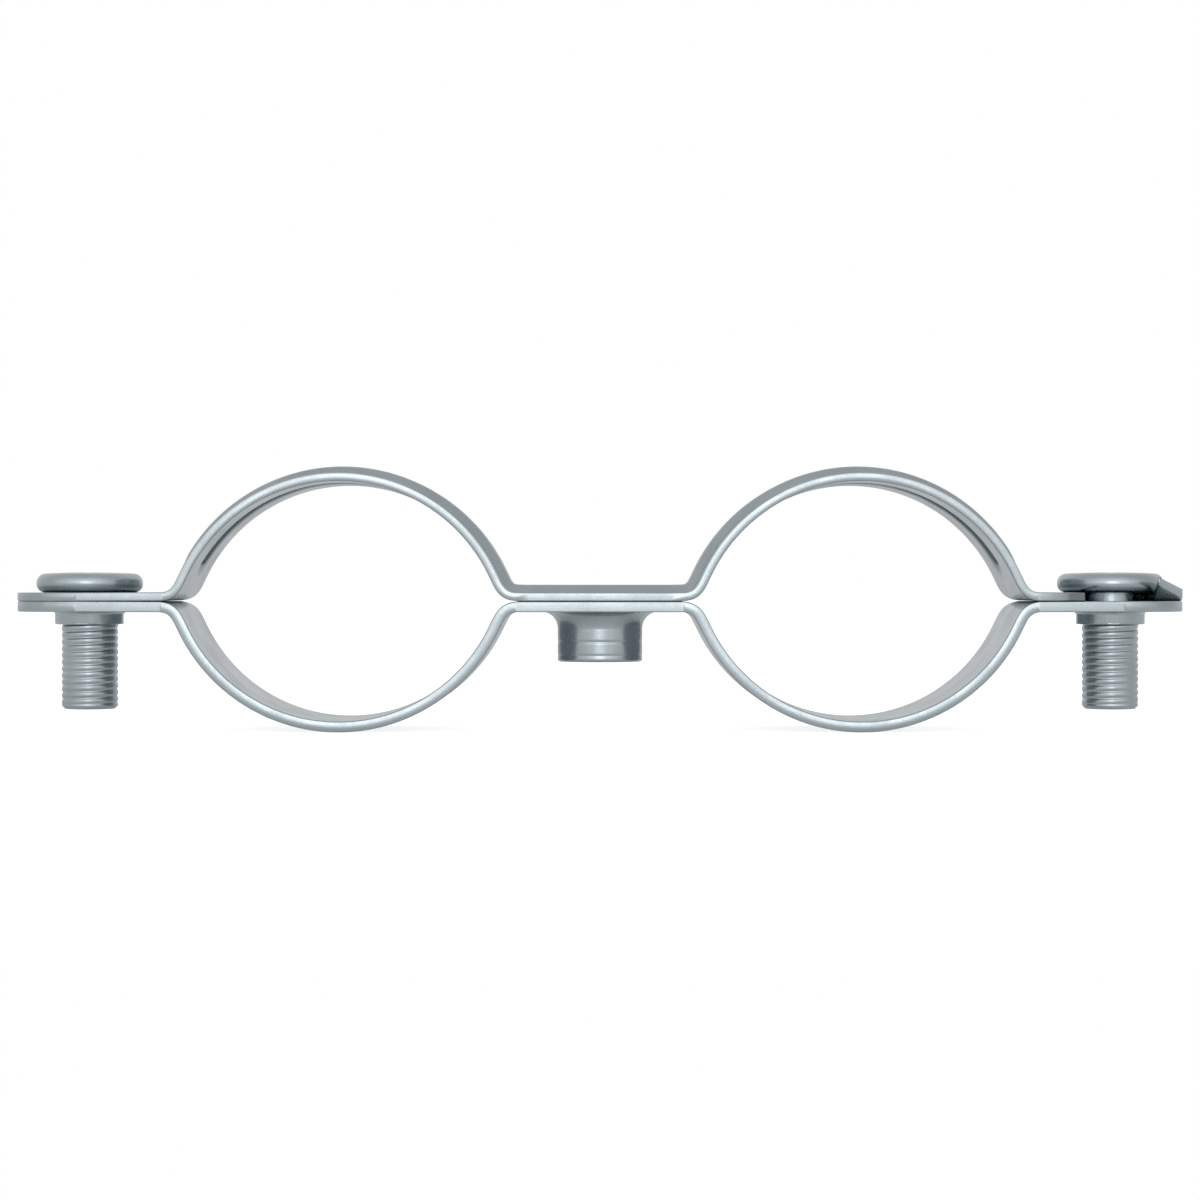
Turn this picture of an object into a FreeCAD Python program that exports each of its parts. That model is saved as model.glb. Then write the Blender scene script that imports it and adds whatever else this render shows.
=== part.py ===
import FreeCAD, Part
import math
import os
import Sketcher
from FreeCAD import Placement, Rotation, Vector

# Double conduit strap of zinc-plated sheet steel, in millimetres.
# A lower strap and an upper strap are bent to the same outline and close two rings
# side by side, one for each conduit. The lower strap has a drawn boss with an M6 thread
# in the middle and a short drawn collar with an M5 thread under each ear. The left
# screw is the pivot of the upper strap. The right ear of the upper strap is a hook that
# swings on and off the right screw, and the bent-up nose of the hook is its catch.
# +Z is up, +X runs along the strap, and the origin is the mouth of the M6 boss.

# Driving sizes. Every other size and place is worked out from these.
SIZES = [
    # The two sheets
    ("strap_width", 13.4),
    ("upper_sheet", 0.8),
    ("lower_sheet", 1.0),
    # The outline that both straps share: inside radius and height of an arch, the
    # straight flank between arch and bend, the inside radius of a bend, and the flats
    ("arch_radius", 15.35),
    ("arch_height", 11.1),
    ("flank_length", 1.1),
    ("bend_radius", 1.2),
    ("middle_flat", 15.5),
    ("ear_flat", 7.65),
    # The stiffening bead along the upper strap
    ("bead_width", 5.0),
    ("bead_height", 0.72),
    ("bead_crest", 0.55),
    ("groove_crest", 0.3),
    ("bead_end", 0.15),
    # The M6 boss in the middle of the lower strap
    ("rod_core_radius", 2.5),
    ("boss_wall", 1.5),
    ("boss_length", 4.7),
    ("boss_root", 1.6),
    ("boss_rim", 0.25),
    ("boss_entry", 0.9),
    # The M5 collars under the ears of the lower strap
    ("collar_wall", 0.62),
    ("collar_length", 1.2),
    ("collar_root", 0.3),
    ("collar_entry", 0.5),
    # The screws
    ("screw_radius", 2.55),
    ("screw_length", 10.95),
    ("screw_point", 0.3),
    ("neck_radius", 2.35),
    ("neck_entry", 0.5),
    ("head_radius", 4.95),
    ("head_height", 1.9),
    ("head_crown", 0.15),
    ("head_rim", 0.9),
    ("head_foot", 0.8),
    ("slot_length", 6.8),
    ("slot_width", 1.2),
    ("slot_depth", 0.8),
    ("cross_length", 4.6),
    ("cross_depth", 1.4),
    # Clearances round the screws
    ("thread_gap", 0.05),
    ("pivot_gap", 0.1),
    ("hook_gap", 0.95),
    # The nose of the hook
    ("nose_start", 3.1),
    ("nose_bend", 0.6),
    ("nose_angle", 38.0),
    ("nose_turn", 25.0),
]

# How far a cutting shape stands clear of the metal that it cuts
CLEAR = 2.0
# A point belongs to a corner or a face when it is this near to it
NEAR = 1e-4

doc = FreeCAD.newDocument("conduit_strap")
sizes = doc.addObject("Spreadsheet::Sheet", "Sizes")
for row, (alias, value) in enumerate(SIZES, start=1):
    sizes.set(f"A{row}", alias)
    sizes.set(f"B{row}", str(value))
    sizes.setAlias(f"B{row}", alias)
doc.recompute()


# ---------------------------------------------------------------- the shared outline
# Expression texts. A strap's inside face is flat on the parting plane, turns up through
# a bend and a straight flank, and goes over the arch. The turn is the angle of the
# flank, and it follows from the arch, the bend and the length of the flank.
def outer_bend(sheet):
    return f"(Sizes.bend_radius + Sizes.{sheet})"


def turn(sheet):
    radii = f"(Sizes.arch_radius + {outer_bend(sheet)})"
    rise = f"({radii} - Sizes.arch_height)"
    slant = f"sqrt({radii}^2 + Sizes.flank_length^2)"
    return f"(acos({rise} / {slant}) - atan2(Sizes.flank_length; {radii}))"


def reach(sheet):
    radii = f"(Sizes.arch_radius + {outer_bend(sheet)})"
    angle = turn(sheet)
    return f"({radii} * sin({angle}) + Sizes.flank_length * cos({angle}))"


RING = f"(Sizes.middle_flat / 2 + {reach('lower_sheet')})"
SCREW = f"({RING} + {reach('lower_sheet')} + Sizes.ear_flat)"
EAR_END = f"({SCREW} + Sizes.strap_width / 2)"
PARTING = "(Sizes.boss_length + Sizes.lower_sheet)"
HEAD_SEAT = f"({PARTING} + Sizes.upper_sheet)"
HOOK_REACH = "(Sizes.screw_radius + Sizes.hook_gap)"
BEAD_GROOVE = "(Sizes.bead_width - 2 * Sizes.upper_sheet)"


def number(text):
    """The present value of an expression, in millimetres or degrees."""
    value = sizes.evalExpression(text)
    return float(getattr(value, "Value", value))


# ---------------------------------------------------------------- sketch helpers
def new_body(name):
    body = doc.addObject("PartDesign::Body", name)
    body.Label = name
    return body


def new_sketch(body, name, role):
    sketch = body.newObject("Sketcher::SketchObject", name)
    plane = next(item for item in body.Origin.OriginFeatures if item.Role == role)
    sketch.AttachmentSupport = (plane, [""])
    sketch.MapMode = "FlatFace"
    return sketch


def axis_of(body, role):
    return (next(item for item in body.Origin.OriginFeatures if item.Role == role), [""])


def line(sketch, start, end):
    return sketch.addGeometry(Part.LineSegment(Vector(*start, 0), Vector(*end, 0)))


def arc(sketch, start, middle, end):
    curve = Part.Arc(Vector(*start, 0), Vector(*middle, 0), Vector(*end, 0))
    return sketch.addGeometry(curve)


def end_at(sketch, piece, point):
    """1 or 2: the end of this line or arc that lies at the point."""
    place = Vector(*point, 0)
    gaps = [(sketch.getPoint(piece, end) - place).Length for end in (1, 2)]
    return 1 if gaps[0] < gaps[1] else 2


def join(sketch, kind, first, second, point):
    """Joins two pieces at a point: kind is Coincident or Tangent."""
    ends = [end_at(sketch, piece, point) for piece in (first, second)]
    sketch.addConstraint(Sketcher.Constraint(kind, first, ends[0], second, ends[1]))


def bind(sketch, name, text, kind, *where):
    """Adds a dimension and ties it to the sheet."""
    value = math.radians(number(text)) if kind == "Angle" else number(text)
    index = sketch.addConstraint(Sketcher.Constraint(kind, *where, value))
    sketch.renameConstraint(index, name)
    sketch.setExpression(f"Constraints.{name}", text)


def close_loop(sketch, points):
    """Straight pieces from point to point, joined into a closed outline."""
    pairs = list(zip(points, points[1:] + points[:1]))
    pieces = [line(sketch, start, end) for start, end in pairs]
    for index, (_, corner) in enumerate(pairs):
        join(sketch, "Coincident", pieces[index], pieces[(index + 1) % len(pieces)], corner)
    return pieces


def place_corner(sketch, name, piece, end, across, along):
    """Ties one end of a piece to the sketch's origin in both directions."""
    bind(sketch, f"{name}_across", across, "DistanceX", -1, 1, piece, end)
    bind(sketch, f"{name}_along", along, "DistanceY", -1, 1, piece, end)


def band_side(sketch, side, sheet, offset):
    """One long side of a band: flat, bend, flank, arch, flank, bend and ear flat.

    The side runs at a given offset outside the strap's inside face. side is 1 for a
    strap that arches up from the parting plane and -1 for one that arches down.
    """
    away, angle = number(offset), number(turn(sheet))
    ring, half = number(RING), number(reach(sheet))
    bend = number(outer_bend(sheet))
    arch_radius, arch_height = number("Sizes.arch_radius"), number("Sizes.arch_height")

    def polar(centre, distance, degrees):
        lean = Rotation(Vector(0, 0, 1), degrees).multVec(Vector(distance, 0, 0))
        return centre[0] + lean.x, side * (centre[1] + lean.y)

    left, right = (ring - half, bend), (ring + half, bend)
    arch = (ring, arch_height - arch_radius)
    points = [
        (0, side * away),
        (ring - half, side * away),
        polar(left, bend - away, angle - 90),
        polar(arch, arch_radius + away, 90 + angle),
        polar(arch, arch_radius + away, 90 - angle),
        polar(right, bend - away, -90 - angle),
        (ring + half, side * away),
        (number(EAR_END), side * away),
    ]
    middles = {
        1: polar(left, bend - away, angle / 2 - 90),
        3: polar(arch, arch_radius + away, 90),
        5: polar(right, bend - away, -90 - angle / 2),
    }
    pieces = []
    for index, (start, end) in enumerate(zip(points, points[1:])):
        if index in middles:
            pieces.append(arc(sketch, start, middles[index], end))
        else:
            pieces.append(line(sketch, start, end))
    for index, point in enumerate(points[1:-1]):
        join(sketch, "Tangent", pieces[index], pieces[index + 1], point)
    return points, pieces


def band(body, name, side, sheet, low, high):
    """A closed band over one arch, between two offsets from the strap's inside face."""
    sketch = new_sketch(body, name, "XZ_Plane")
    near_points, near = band_side(sketch, side, sheet, low)
    far_points, far = band_side(sketch, side, sheet, high)
    start = line(sketch, near_points[0], far_points[0])
    finish = line(sketch, near_points[-1], far_points[-1])
    for points, pieces in ((near_points, near), (far_points, far)):
        join(sketch, "Coincident", start, pieces[0], points[0])
        join(sketch, "Coincident", finish, pieces[-1], points[-1])
        sketch.addConstraint(Sketcher.Constraint("Horizontal", pieces[0]))
        sketch.addConstraint(Sketcher.Constraint("Horizontal", pieces[6]))
        sketch.addConstraint(Sketcher.Constraint("Equal", pieces[1], pieces[5]))
    for piece in (start, finish):
        sketch.addConstraint(Sketcher.Constraint("Vertical", piece))
    for index in (1, 3, 5):
        sketch.addConstraint(Sketcher.Constraint("Coincident", near[index], 3, far[index], 3))
    sketch.addConstraint(Sketcher.Constraint("Equal", near[2], near[4]))
    sketch.addConstraint(Sketcher.Constraint("Horizontal", near[0], 2, near[6], 1))
    place_corner(sketch, "middle", near[0], 1, "0", f"{side} * ({low})")
    height = f"{side} * (Sizes.arch_height - Sizes.arch_radius)"
    place_corner(sketch, "arch_centre", near[3], 3, RING, height)
    bind(sketch, "arch_near", f"Sizes.arch_radius + {low}", "Radius", near[3])
    bind(sketch, "arch_far", f"Sizes.arch_radius + {high}", "Radius", far[3])
    bind(sketch, "bend_near", f"{outer_bend(sheet)} - {low}", "Radius", near[1])
    bind(sketch, "bend_far", f"{outer_bend(sheet)} - {high}", "Radius", far[1])
    bind(sketch, "flank", "Sizes.flank_length", "Distance", near[2])
    bind(sketch, "ear_end", EAR_END, "DistanceX", -1, 1, near[6], 2)
    return sketch


# ---------------------------------------------------------------- feature helpers
def pad_both_ways(body, name, sketch, width):
    pad = body.newObject("PartDesign::Pad", name)
    pad.Profile = sketch
    pad.SideType = "Symmetric"
    pad.setExpression("Length", width)
    doc.recompute()
    return pad


def cut_through(body, name, sketch):
    pocket = body.newObject("PartDesign::Pocket", name)
    pocket.Profile = sketch
    pocket.SideType = "Symmetric"
    pocket.Type = "ThroughAll"
    doc.recompute()
    return pocket


def turned(body, name, sketch, cut=False):
    """Turns a sketch a full circle about its own vertical axis."""
    feature = body.newObject(f"PartDesign::{'Groove' if cut else 'Revolution'}", name)
    feature.Profile = sketch
    feature.ReferenceAxis = (sketch, ["V_Axis"])
    feature.Angle = 360
    doc.recompute()
    return feature


def whole_mirror(body, name):
    mirror = body.newObject("PartDesign::Mirrored", name)
    mirror.TransformMode = "Whole shape"
    mirror.MirrorPlane = axis_of(body, "YZ_Plane")
    body.Tip = mirror
    doc.recompute()
    return mirror


def fillet(body, name, base, radius, chosen):
    """Rounds the edges of the base feature that pass the test."""
    edges = [f"Edge{i}" for i, edge in enumerate(base.Shape.Edges, start=1) if chosen(edge)]
    if not edges:
        raise RuntimeError(f"{name}: no edge to round")
    feature = body.newObject("PartDesign::Fillet", name)
    feature.Base = (base, edges)
    feature.setExpression("Radius", radius)
    doc.recompute()
    return feature


def circle_at(edge, radius, height):
    """True for a level circle of this radius at this height, wherever its axis is."""
    if edge.Degenerated or edge.Curve.TypeId != "Part::GeomCircle":
        return False
    curve = edge.Curve
    return abs(curve.Radius - radius) < NEAR and abs(curve.Center.z - height) < NEAR


def round_end(body, name, role, radius, heading, moves, beyond="0"):
    """Sketch of what is cut away to leave a half-round end that points along +X.

    The sketch is turned to its heading on the plane, and moves ties its offsets. What
    is cut away reaches past the round end by the length beyond and a clearance.
    """
    sketch = new_sketch(body, f"{name}_outline", role)
    sketch.AttachmentOffset = Placement(Vector(), Rotation(Vector(0, 0, 1), heading))
    for direction, text in moves.items():
        sketch.setExpression(f"AttachmentOffset.Base.{direction}", text)
    half = number(radius)
    far, side = half + number(beyond) + CLEAR, half + CLEAR
    corners = [(0, half), (0, side), (far, side), (far, -side), (0, -side), (0, -half)]
    sides = [line(sketch, start, end) for start, end in zip(corners, corners[1:])]
    for index, corner in enumerate(corners[1:-1]):
        join(sketch, "Coincident", sides[index], sides[index + 1], corner)
    rounded = arc(sketch, corners[-1], (half, 0), corners[0])
    join(sketch, "Coincident", rounded, sides[0], corners[0])
    join(sketch, "Coincident", rounded, sides[-1], corners[-1])
    for piece in (sides[0], sides[2], sides[4]):
        sketch.addConstraint(Sketcher.Constraint("Vertical", piece))
    for piece in (sides[1], sides[3]):
        sketch.addConstraint(Sketcher.Constraint("Horizontal", piece))
    for piece in (sides[0], sides[4]):
        sketch.addConstraint(Sketcher.Constraint("PointOnObject", rounded, 3, piece))
    place_corner(sketch, "centre", rounded, 3, "0", "0")
    bind(sketch, "end_radius", radius, "Radius", rounded)
    place_corner(sketch, "back", sides[1], 2, f"{radius} + {beyond} + {CLEAR}", f"{radius} + {CLEAR}")
    bind(sketch, "front", f"-({radius} + {CLEAR})", "DistanceY", -1, 1, sides[3], 2)
    return sketch


def ear_trim(body, name, side):
    """Rounds the end of an ear about its screw's axis."""
    heading = 0 if side > 0 else 180
    moves = {"x": f"{side} * {SCREW}"}
    sketch = round_end(body, name, "XY_Plane", "Sizes.strap_width / 2", heading, moves)
    return cut_through(body, name, sketch)


def round_hole(body, name, centre, radius):
    sketch = new_sketch(body, f"{name}_outline", "XY_Plane")
    place = Vector(number(centre), 0, 0)
    ring = sketch.addGeometry(Part.Circle(place, Vector(0, 0, 1), number(radius)))
    place_corner(sketch, "centre", ring, 3, centre, "0")
    bind(sketch, "radius", radius, "Radius", ring)
    return cut_through(body, name, sketch)


def drawn_collar(body, name, centre, bore, wall, length, root, entry):
    """A threaded collar drawn down out of the lower sheet, before its thread is cut.

    A tube stands under the sheet, its root is rounded into the sheet, and the bore is
    cut with the rounded entry that drawing leaves on the upper face.
    """
    outer = f"({bore} + {wall})"
    foot = f"(-Sizes.lower_sheet - {length})"
    tube = new_sketch(body, f"{name}_tube_section", "XZ_Plane")
    tube.setExpression("AttachmentOffset.Base.x", centre)
    wide, low, high = number(outer), number(foot), -number("Sizes.lower_sheet") / 2
    sides = close_loop(tube, [(0, high), (wide, high), (wide, low), (0, low)])
    for index, kind in enumerate(("Horizontal", "Vertical", "Horizontal", "Vertical")):
        tube.addConstraint(Sketcher.Constraint(kind, sides[index]))
    place_corner(tube, "top", sides[0], 1, "0", "-Sizes.lower_sheet / 2")
    place_corner(tube, "foot", sides[2], 1, outer, foot)
    solid = turned(body, f"{name}_tube", tube)
    level = -number("Sizes.lower_sheet")
    solid = fillet(body, f"{name}_root", solid, root, lambda edge: circle_at(edge, wide, level))

    hole = new_sketch(body, f"{name}_bore_section", "XZ_Plane")
    hole.setExpression("AttachmentOffset.Base.x", centre)
    inner, soft, deep = number(bore), number(entry), low - CLEAR
    corners = [
        (0, CLEAR),
        (inner + soft, CLEAR),
        (inner + soft, 0),
        (inner, -soft),
        (inner, deep),
        (0, deep),
    ]
    lines = [line(hole, corners[i], corners[i + 1]) for i in (0, 1, 3, 4)]
    lines.append(line(hole, corners[5], corners[0]))
    middle = inner + soft - soft * 0.5 ** 0.5, -soft + soft * 0.5 ** 0.5
    lip = arc(hole, corners[2], middle, corners[3])
    for first, second, corner in ((0, 1, 1), (2, 3, 4), (3, 4, 5), (4, 0, 0)):
        join(hole, "Coincident", lines[first], lines[second], corners[corner])
    join(hole, "Coincident", lines[1], lip, corners[2])
    join(hole, "Tangent", lip, lines[2], corners[3])
    for index in (0, 3):
        hole.addConstraint(Sketcher.Constraint("Horizontal", lines[index]))
    for index in (1, 2, 4):
        hole.addConstraint(Sketcher.Constraint("Vertical", lines[index]))
    place_corner(hole, "top", lines[0], 1, "0", f"{CLEAR}")
    place_corner(hole, "lip", lip, 3, f"{bore} + {entry}", f"-({entry})")
    bind(hole, "lip_radius", entry, "Radius", lip)
    hole.addConstraint(Sketcher.Constraint("PointOnObject", lip, 3, lines[1]))
    bind(hole, "deep", f"{foot} - {CLEAR}", "DistanceY", -1, 1, lines[3], 1)
    return turned(body, f"{name}_bore", hole, cut=True)


# ---------------------------------------------------------------- lower strap
def lower_strap():
    body = new_body("lower_strap")
    sheet = "lower_sheet"
    strip = band(body, "lower_strip_section", -1, sheet, "0", f"Sizes.{sheet}")
    pad_both_ways(body, "lower_strip", strip, "Sizes.strap_width")
    ear_trim(body, "lower_ear", 1)
    drawn_collar(
        body, "collar", SCREW, "(Sizes.screw_radius + Sizes.thread_gap)",
        "Sizes.collar_wall", "Sizes.collar_length", "Sizes.collar_root", "Sizes.collar_entry",
    )
    whole_mirror(body, "lower_left_half")
    bored = drawn_collar(
        body, "boss", "0", "Sizes.rod_core_radius",
        "Sizes.boss_wall", "Sizes.boss_length", "Sizes.boss_root", "Sizes.boss_entry",
    )
    rim = number("Sizes.rod_core_radius + Sizes.boss_wall")
    mouth = -number(PARTING)
    fillet(body, "boss_rim_round", bored, "Sizes.boss_rim", lambda edge: circle_at(edge, rim, mouth))
    body.setExpression("Placement.Base.z", PARTING)
    return body


# ---------------------------------------------------------------- upper strap
def crest_edges(section, high):
    """Test for the edges that run along the top of a bead form, at the offset high."""
    inside = Part.Compound([section.Geometry[index].toShape() for index in range(7)])
    inside.Placement = section.Placement
    low = number(outer_bend("upper_sheet")) - section.Geometry[1].Radius

    def chosen(edge):
        straight = edge.Curve.TypeId == "Part::GeomLine"
        if straight and abs(edge.tangentAt(edge.FirstParameter).y) > 0.5:
            return False
        middle = edge.valueAt((edge.FirstParameter + edge.LastParameter) / 2)
        spot = Part.Vertex(middle.x, 0, middle.z)
        return abs(inside.distToShape(spot)[0] + low - number(high)) < NEAR

    return chosen


def bead_form(name, low, high, width, stop, crest):
    """A rounded bar that follows the upper strap and ends half round on its outer flanks.

    stop is the height of the bar's ends above the parting plane.
    """
    body = new_body(name)
    section = band(body, f"{name}_section", 1, "upper_sheet", low, high)
    pad_both_ways(body, f"{name}_bar", section, width)
    moves = {"x": "0", "y": f"{stop} + {width} / 2", "z": RING}
    ends = round_end(body, f"{name}_end", "YZ_Plane", f"{width} / 2", -90, moves, stop)
    cut = body.newObject("PartDesign::Pocket", f"{name}_end")
    cut.Profile = ends
    cut.Type = "ThroughAll"
    cut.Reversed = True
    doc.recompute()
    fillet(body, f"{name}_crest", cut, crest, crest_edges(section, high))
    whole_mirror(body, f"{name}_left_half")
    return body


def bead(body):
    """The bead is pressed outwards, so it is a ridge outside and a groove inside."""
    sheet = "Sizes.upper_sheet"
    stop = f"({sheet} + Sizes.bead_height + Sizes.bead_end)"
    ridge = bead_form(
        "ridge_form", f"({sheet} / 2)", f"({sheet} + Sizes.bead_height)",
        "Sizes.bead_width", stop, "Sizes.bead_crest",
    )
    groove = bead_form(
        "groove_form", f"(-{sheet} / 2)", "Sizes.bead_height",
        BEAD_GROOVE, f"({stop} + {sheet})", "Sizes.groove_crest",
    )
    for name, kind, form in (("ridge", "Fuse", ridge), ("groove", "Cut", groove)):
        pressed = body.newObject("PartDesign::Boolean", name)
        pressed.setObjects([form])
        pressed.Type = kind
        body.Tip = pressed
        doc.recompute()


def nose(body):
    """The front corner of the hook is cut off along its bend and set again bent up.

    The bend runs slanting across the corner from the wall of the slot, so that it stays
    outside the flat ring on which the screw's head sits.
    """
    front = "(Sizes.strap_width / 2)"
    root = f"({SCREW} + {HOOK_REACH})"
    blank = new_sketch(body, "nose_blank_outline", "XY_Plane")
    left, right = f"({root} - {CLEAR})", f"({EAR_END} + {CLEAR})"
    inner = f"(-Sizes.nose_start - {CLEAR} * tan(Sizes.nose_turn))"
    outer = f"(-Sizes.nose_start + ({right} - {root}) * tan(Sizes.nose_turn))"
    far = f"(-{front} - {CLEAR})"
    spots = ((left, inner), (right, outer), (right, far), (left, far))
    sides = close_loop(blank, [(number(x), number(y)) for x, y in spots])
    for index, kind in ((1, "Vertical"), (2, "Horizontal"), (3, "Vertical")):
        blank.addConstraint(Sketcher.Constraint(kind, sides[index]))
    place_corner(blank, "inner", sides[0], 1, left, inner)
    place_corner(blank, "far", sides[2], 1, right, far)
    bind(blank, "outer", outer, "DistanceY", -1, 1, sides[1], 1)
    cut_through(body, "nose_blank", blank)

    section = new_sketch(body, "nose_section", "YZ_Plane")
    turned_by = Rotation(Vector(0, 1, 0), number("Sizes.nose_turn"))
    section.AttachmentOffset = Placement(Vector(), turned_by)
    section.setExpression("AttachmentOffset.Rotation.Angle", "Sizes.nose_turn * 1 deg")
    section.setExpression("AttachmentOffset.Base.x", "-Sizes.nose_start")
    section.setExpression("AttachmentOffset.Base.z", root)
    bend, sheet = number("Sizes.nose_bend"), number("Sizes.upper_sheet")
    angle = number("Sizes.nose_angle")
    to_bend = f"({HOOK_REACH} * sin(Sizes.nose_turn) + Sizes.nose_start * cos(Sizes.nose_turn))"
    length = f"({front} - {to_bend})"
    run, up = number(length), bend + sheet

    def at(radius, degrees, along=0.0):
        lean = Rotation(Vector(0, 0, 1), -degrees).multVec(Vector(-along, -radius, 0))
        return lean.x, up + lean.y

    lower = [at(up, 0), at(up, angle), at(up, angle, run)]
    upper = [at(bend, 0), at(bend, angle), at(bend, angle, run)]
    curves = [arc(section, side[0], at(r, angle / 2), side[1]) for side, r in ((lower, up), (upper, bend))]
    straights = [line(section, side[1], side[2]) for side in (lower, upper)]
    root_line, tip = line(section, lower[0], upper[0]), line(section, lower[2], upper[2])
    for curve, straight, side in zip(curves, straights, (lower, upper)):
        join(section, "Tangent", curve, straight, side[1])
        join(section, "Coincident", curve, root_line, side[0])
        join(section, "Coincident", straight, tip, side[2])
    section.addConstraint(Sketcher.Constraint("Vertical", root_line))
    section.addConstraint(Sketcher.Constraint("Perpendicular", straights[0], tip))
    section.addConstraint(Sketcher.Constraint("Coincident", curves[0], 3, curves[1], 3))
    outside = "(Sizes.nose_bend + Sizes.upper_sheet)"
    place_corner(section, "centre", curves[0], 3, "0", outside)
    section.addConstraint(Sketcher.Constraint("PointOnObject", curves[0], 3, root_line))
    bind(section, "outer_bend", outside, "Radius", curves[0])
    bind(section, "inner_bend", "Sizes.nose_bend", "Radius", curves[1])
    bind(section, "length", length, "Distance", straights[0])
    foot = end_at(section, straights[0], lower[1])
    bind(section, "lift", "180 - Sizes.nose_angle", "Angle", -1, 1, straights[0], foot)
    width = f"(Sizes.strap_width - 2 * {HOOK_REACH} + {CLEAR})"
    return pad_both_ways(body, "nose", section, width)


def hook_slot(body):
    """The slot runs from the front edge to a round seat behind the right screw."""
    sketch = new_sketch(body, "hook_slot_outline", "XY_Plane")
    centre, half = number(SCREW), number(HOOK_REACH)
    front = -number("Sizes.strap_width / 2") - CLEAR
    seat = arc(sketch, (centre + half, 0), (centre, half), (centre - half, 0))
    left = line(sketch, (centre - half, 0), (centre - half, front))
    mouth = line(sketch, (centre - half, front), (centre + half, front))
    right = line(sketch, (centre + half, front), (centre + half, 0))
    join(sketch, "Tangent", seat, left, (centre - half, 0))
    join(sketch, "Tangent", seat, right, (centre + half, 0))
    join(sketch, "Coincident", left, mouth, (centre - half, front))
    join(sketch, "Coincident", mouth, right, (centre + half, front))
    sketch.addConstraint(Sketcher.Constraint("Horizontal", mouth))
    sketch.addConstraint(Sketcher.Constraint("Vertical", left))
    sketch.addConstraint(Sketcher.Constraint("Vertical", right))
    place_corner(sketch, "seat", seat, 3, SCREW, "0")
    bind(sketch, "seat_radius", HOOK_REACH, "Radius", seat)
    bind(sketch, "mouth", f"-Sizes.strap_width / 2 - {CLEAR}", "DistanceY", -1, 1, mouth, 1)
    return cut_through(body, "hook_slot", sketch)


def upper_strap():
    body = new_body("upper_strap")
    sheet = "upper_sheet"
    strip = band(body, "upper_strip_section", 1, sheet, "0", f"Sizes.{sheet}")
    pad_both_ways(body, "upper_strip", strip, "Sizes.strap_width")
    whole_mirror(body, "upper_left_half")
    bead(body)
    nose(body)
    ear_trim(body, "upper_right_ear", 1)
    ear_trim(body, "upper_left_ear", -1)
    hook_slot(body)
    round_hole(body, "pivot_hole", f"-{SCREW}", "(Sizes.screw_radius + Sizes.pivot_gap)")
    body.setExpression("Placement.Base.z", PARTING)
    return body


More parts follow.
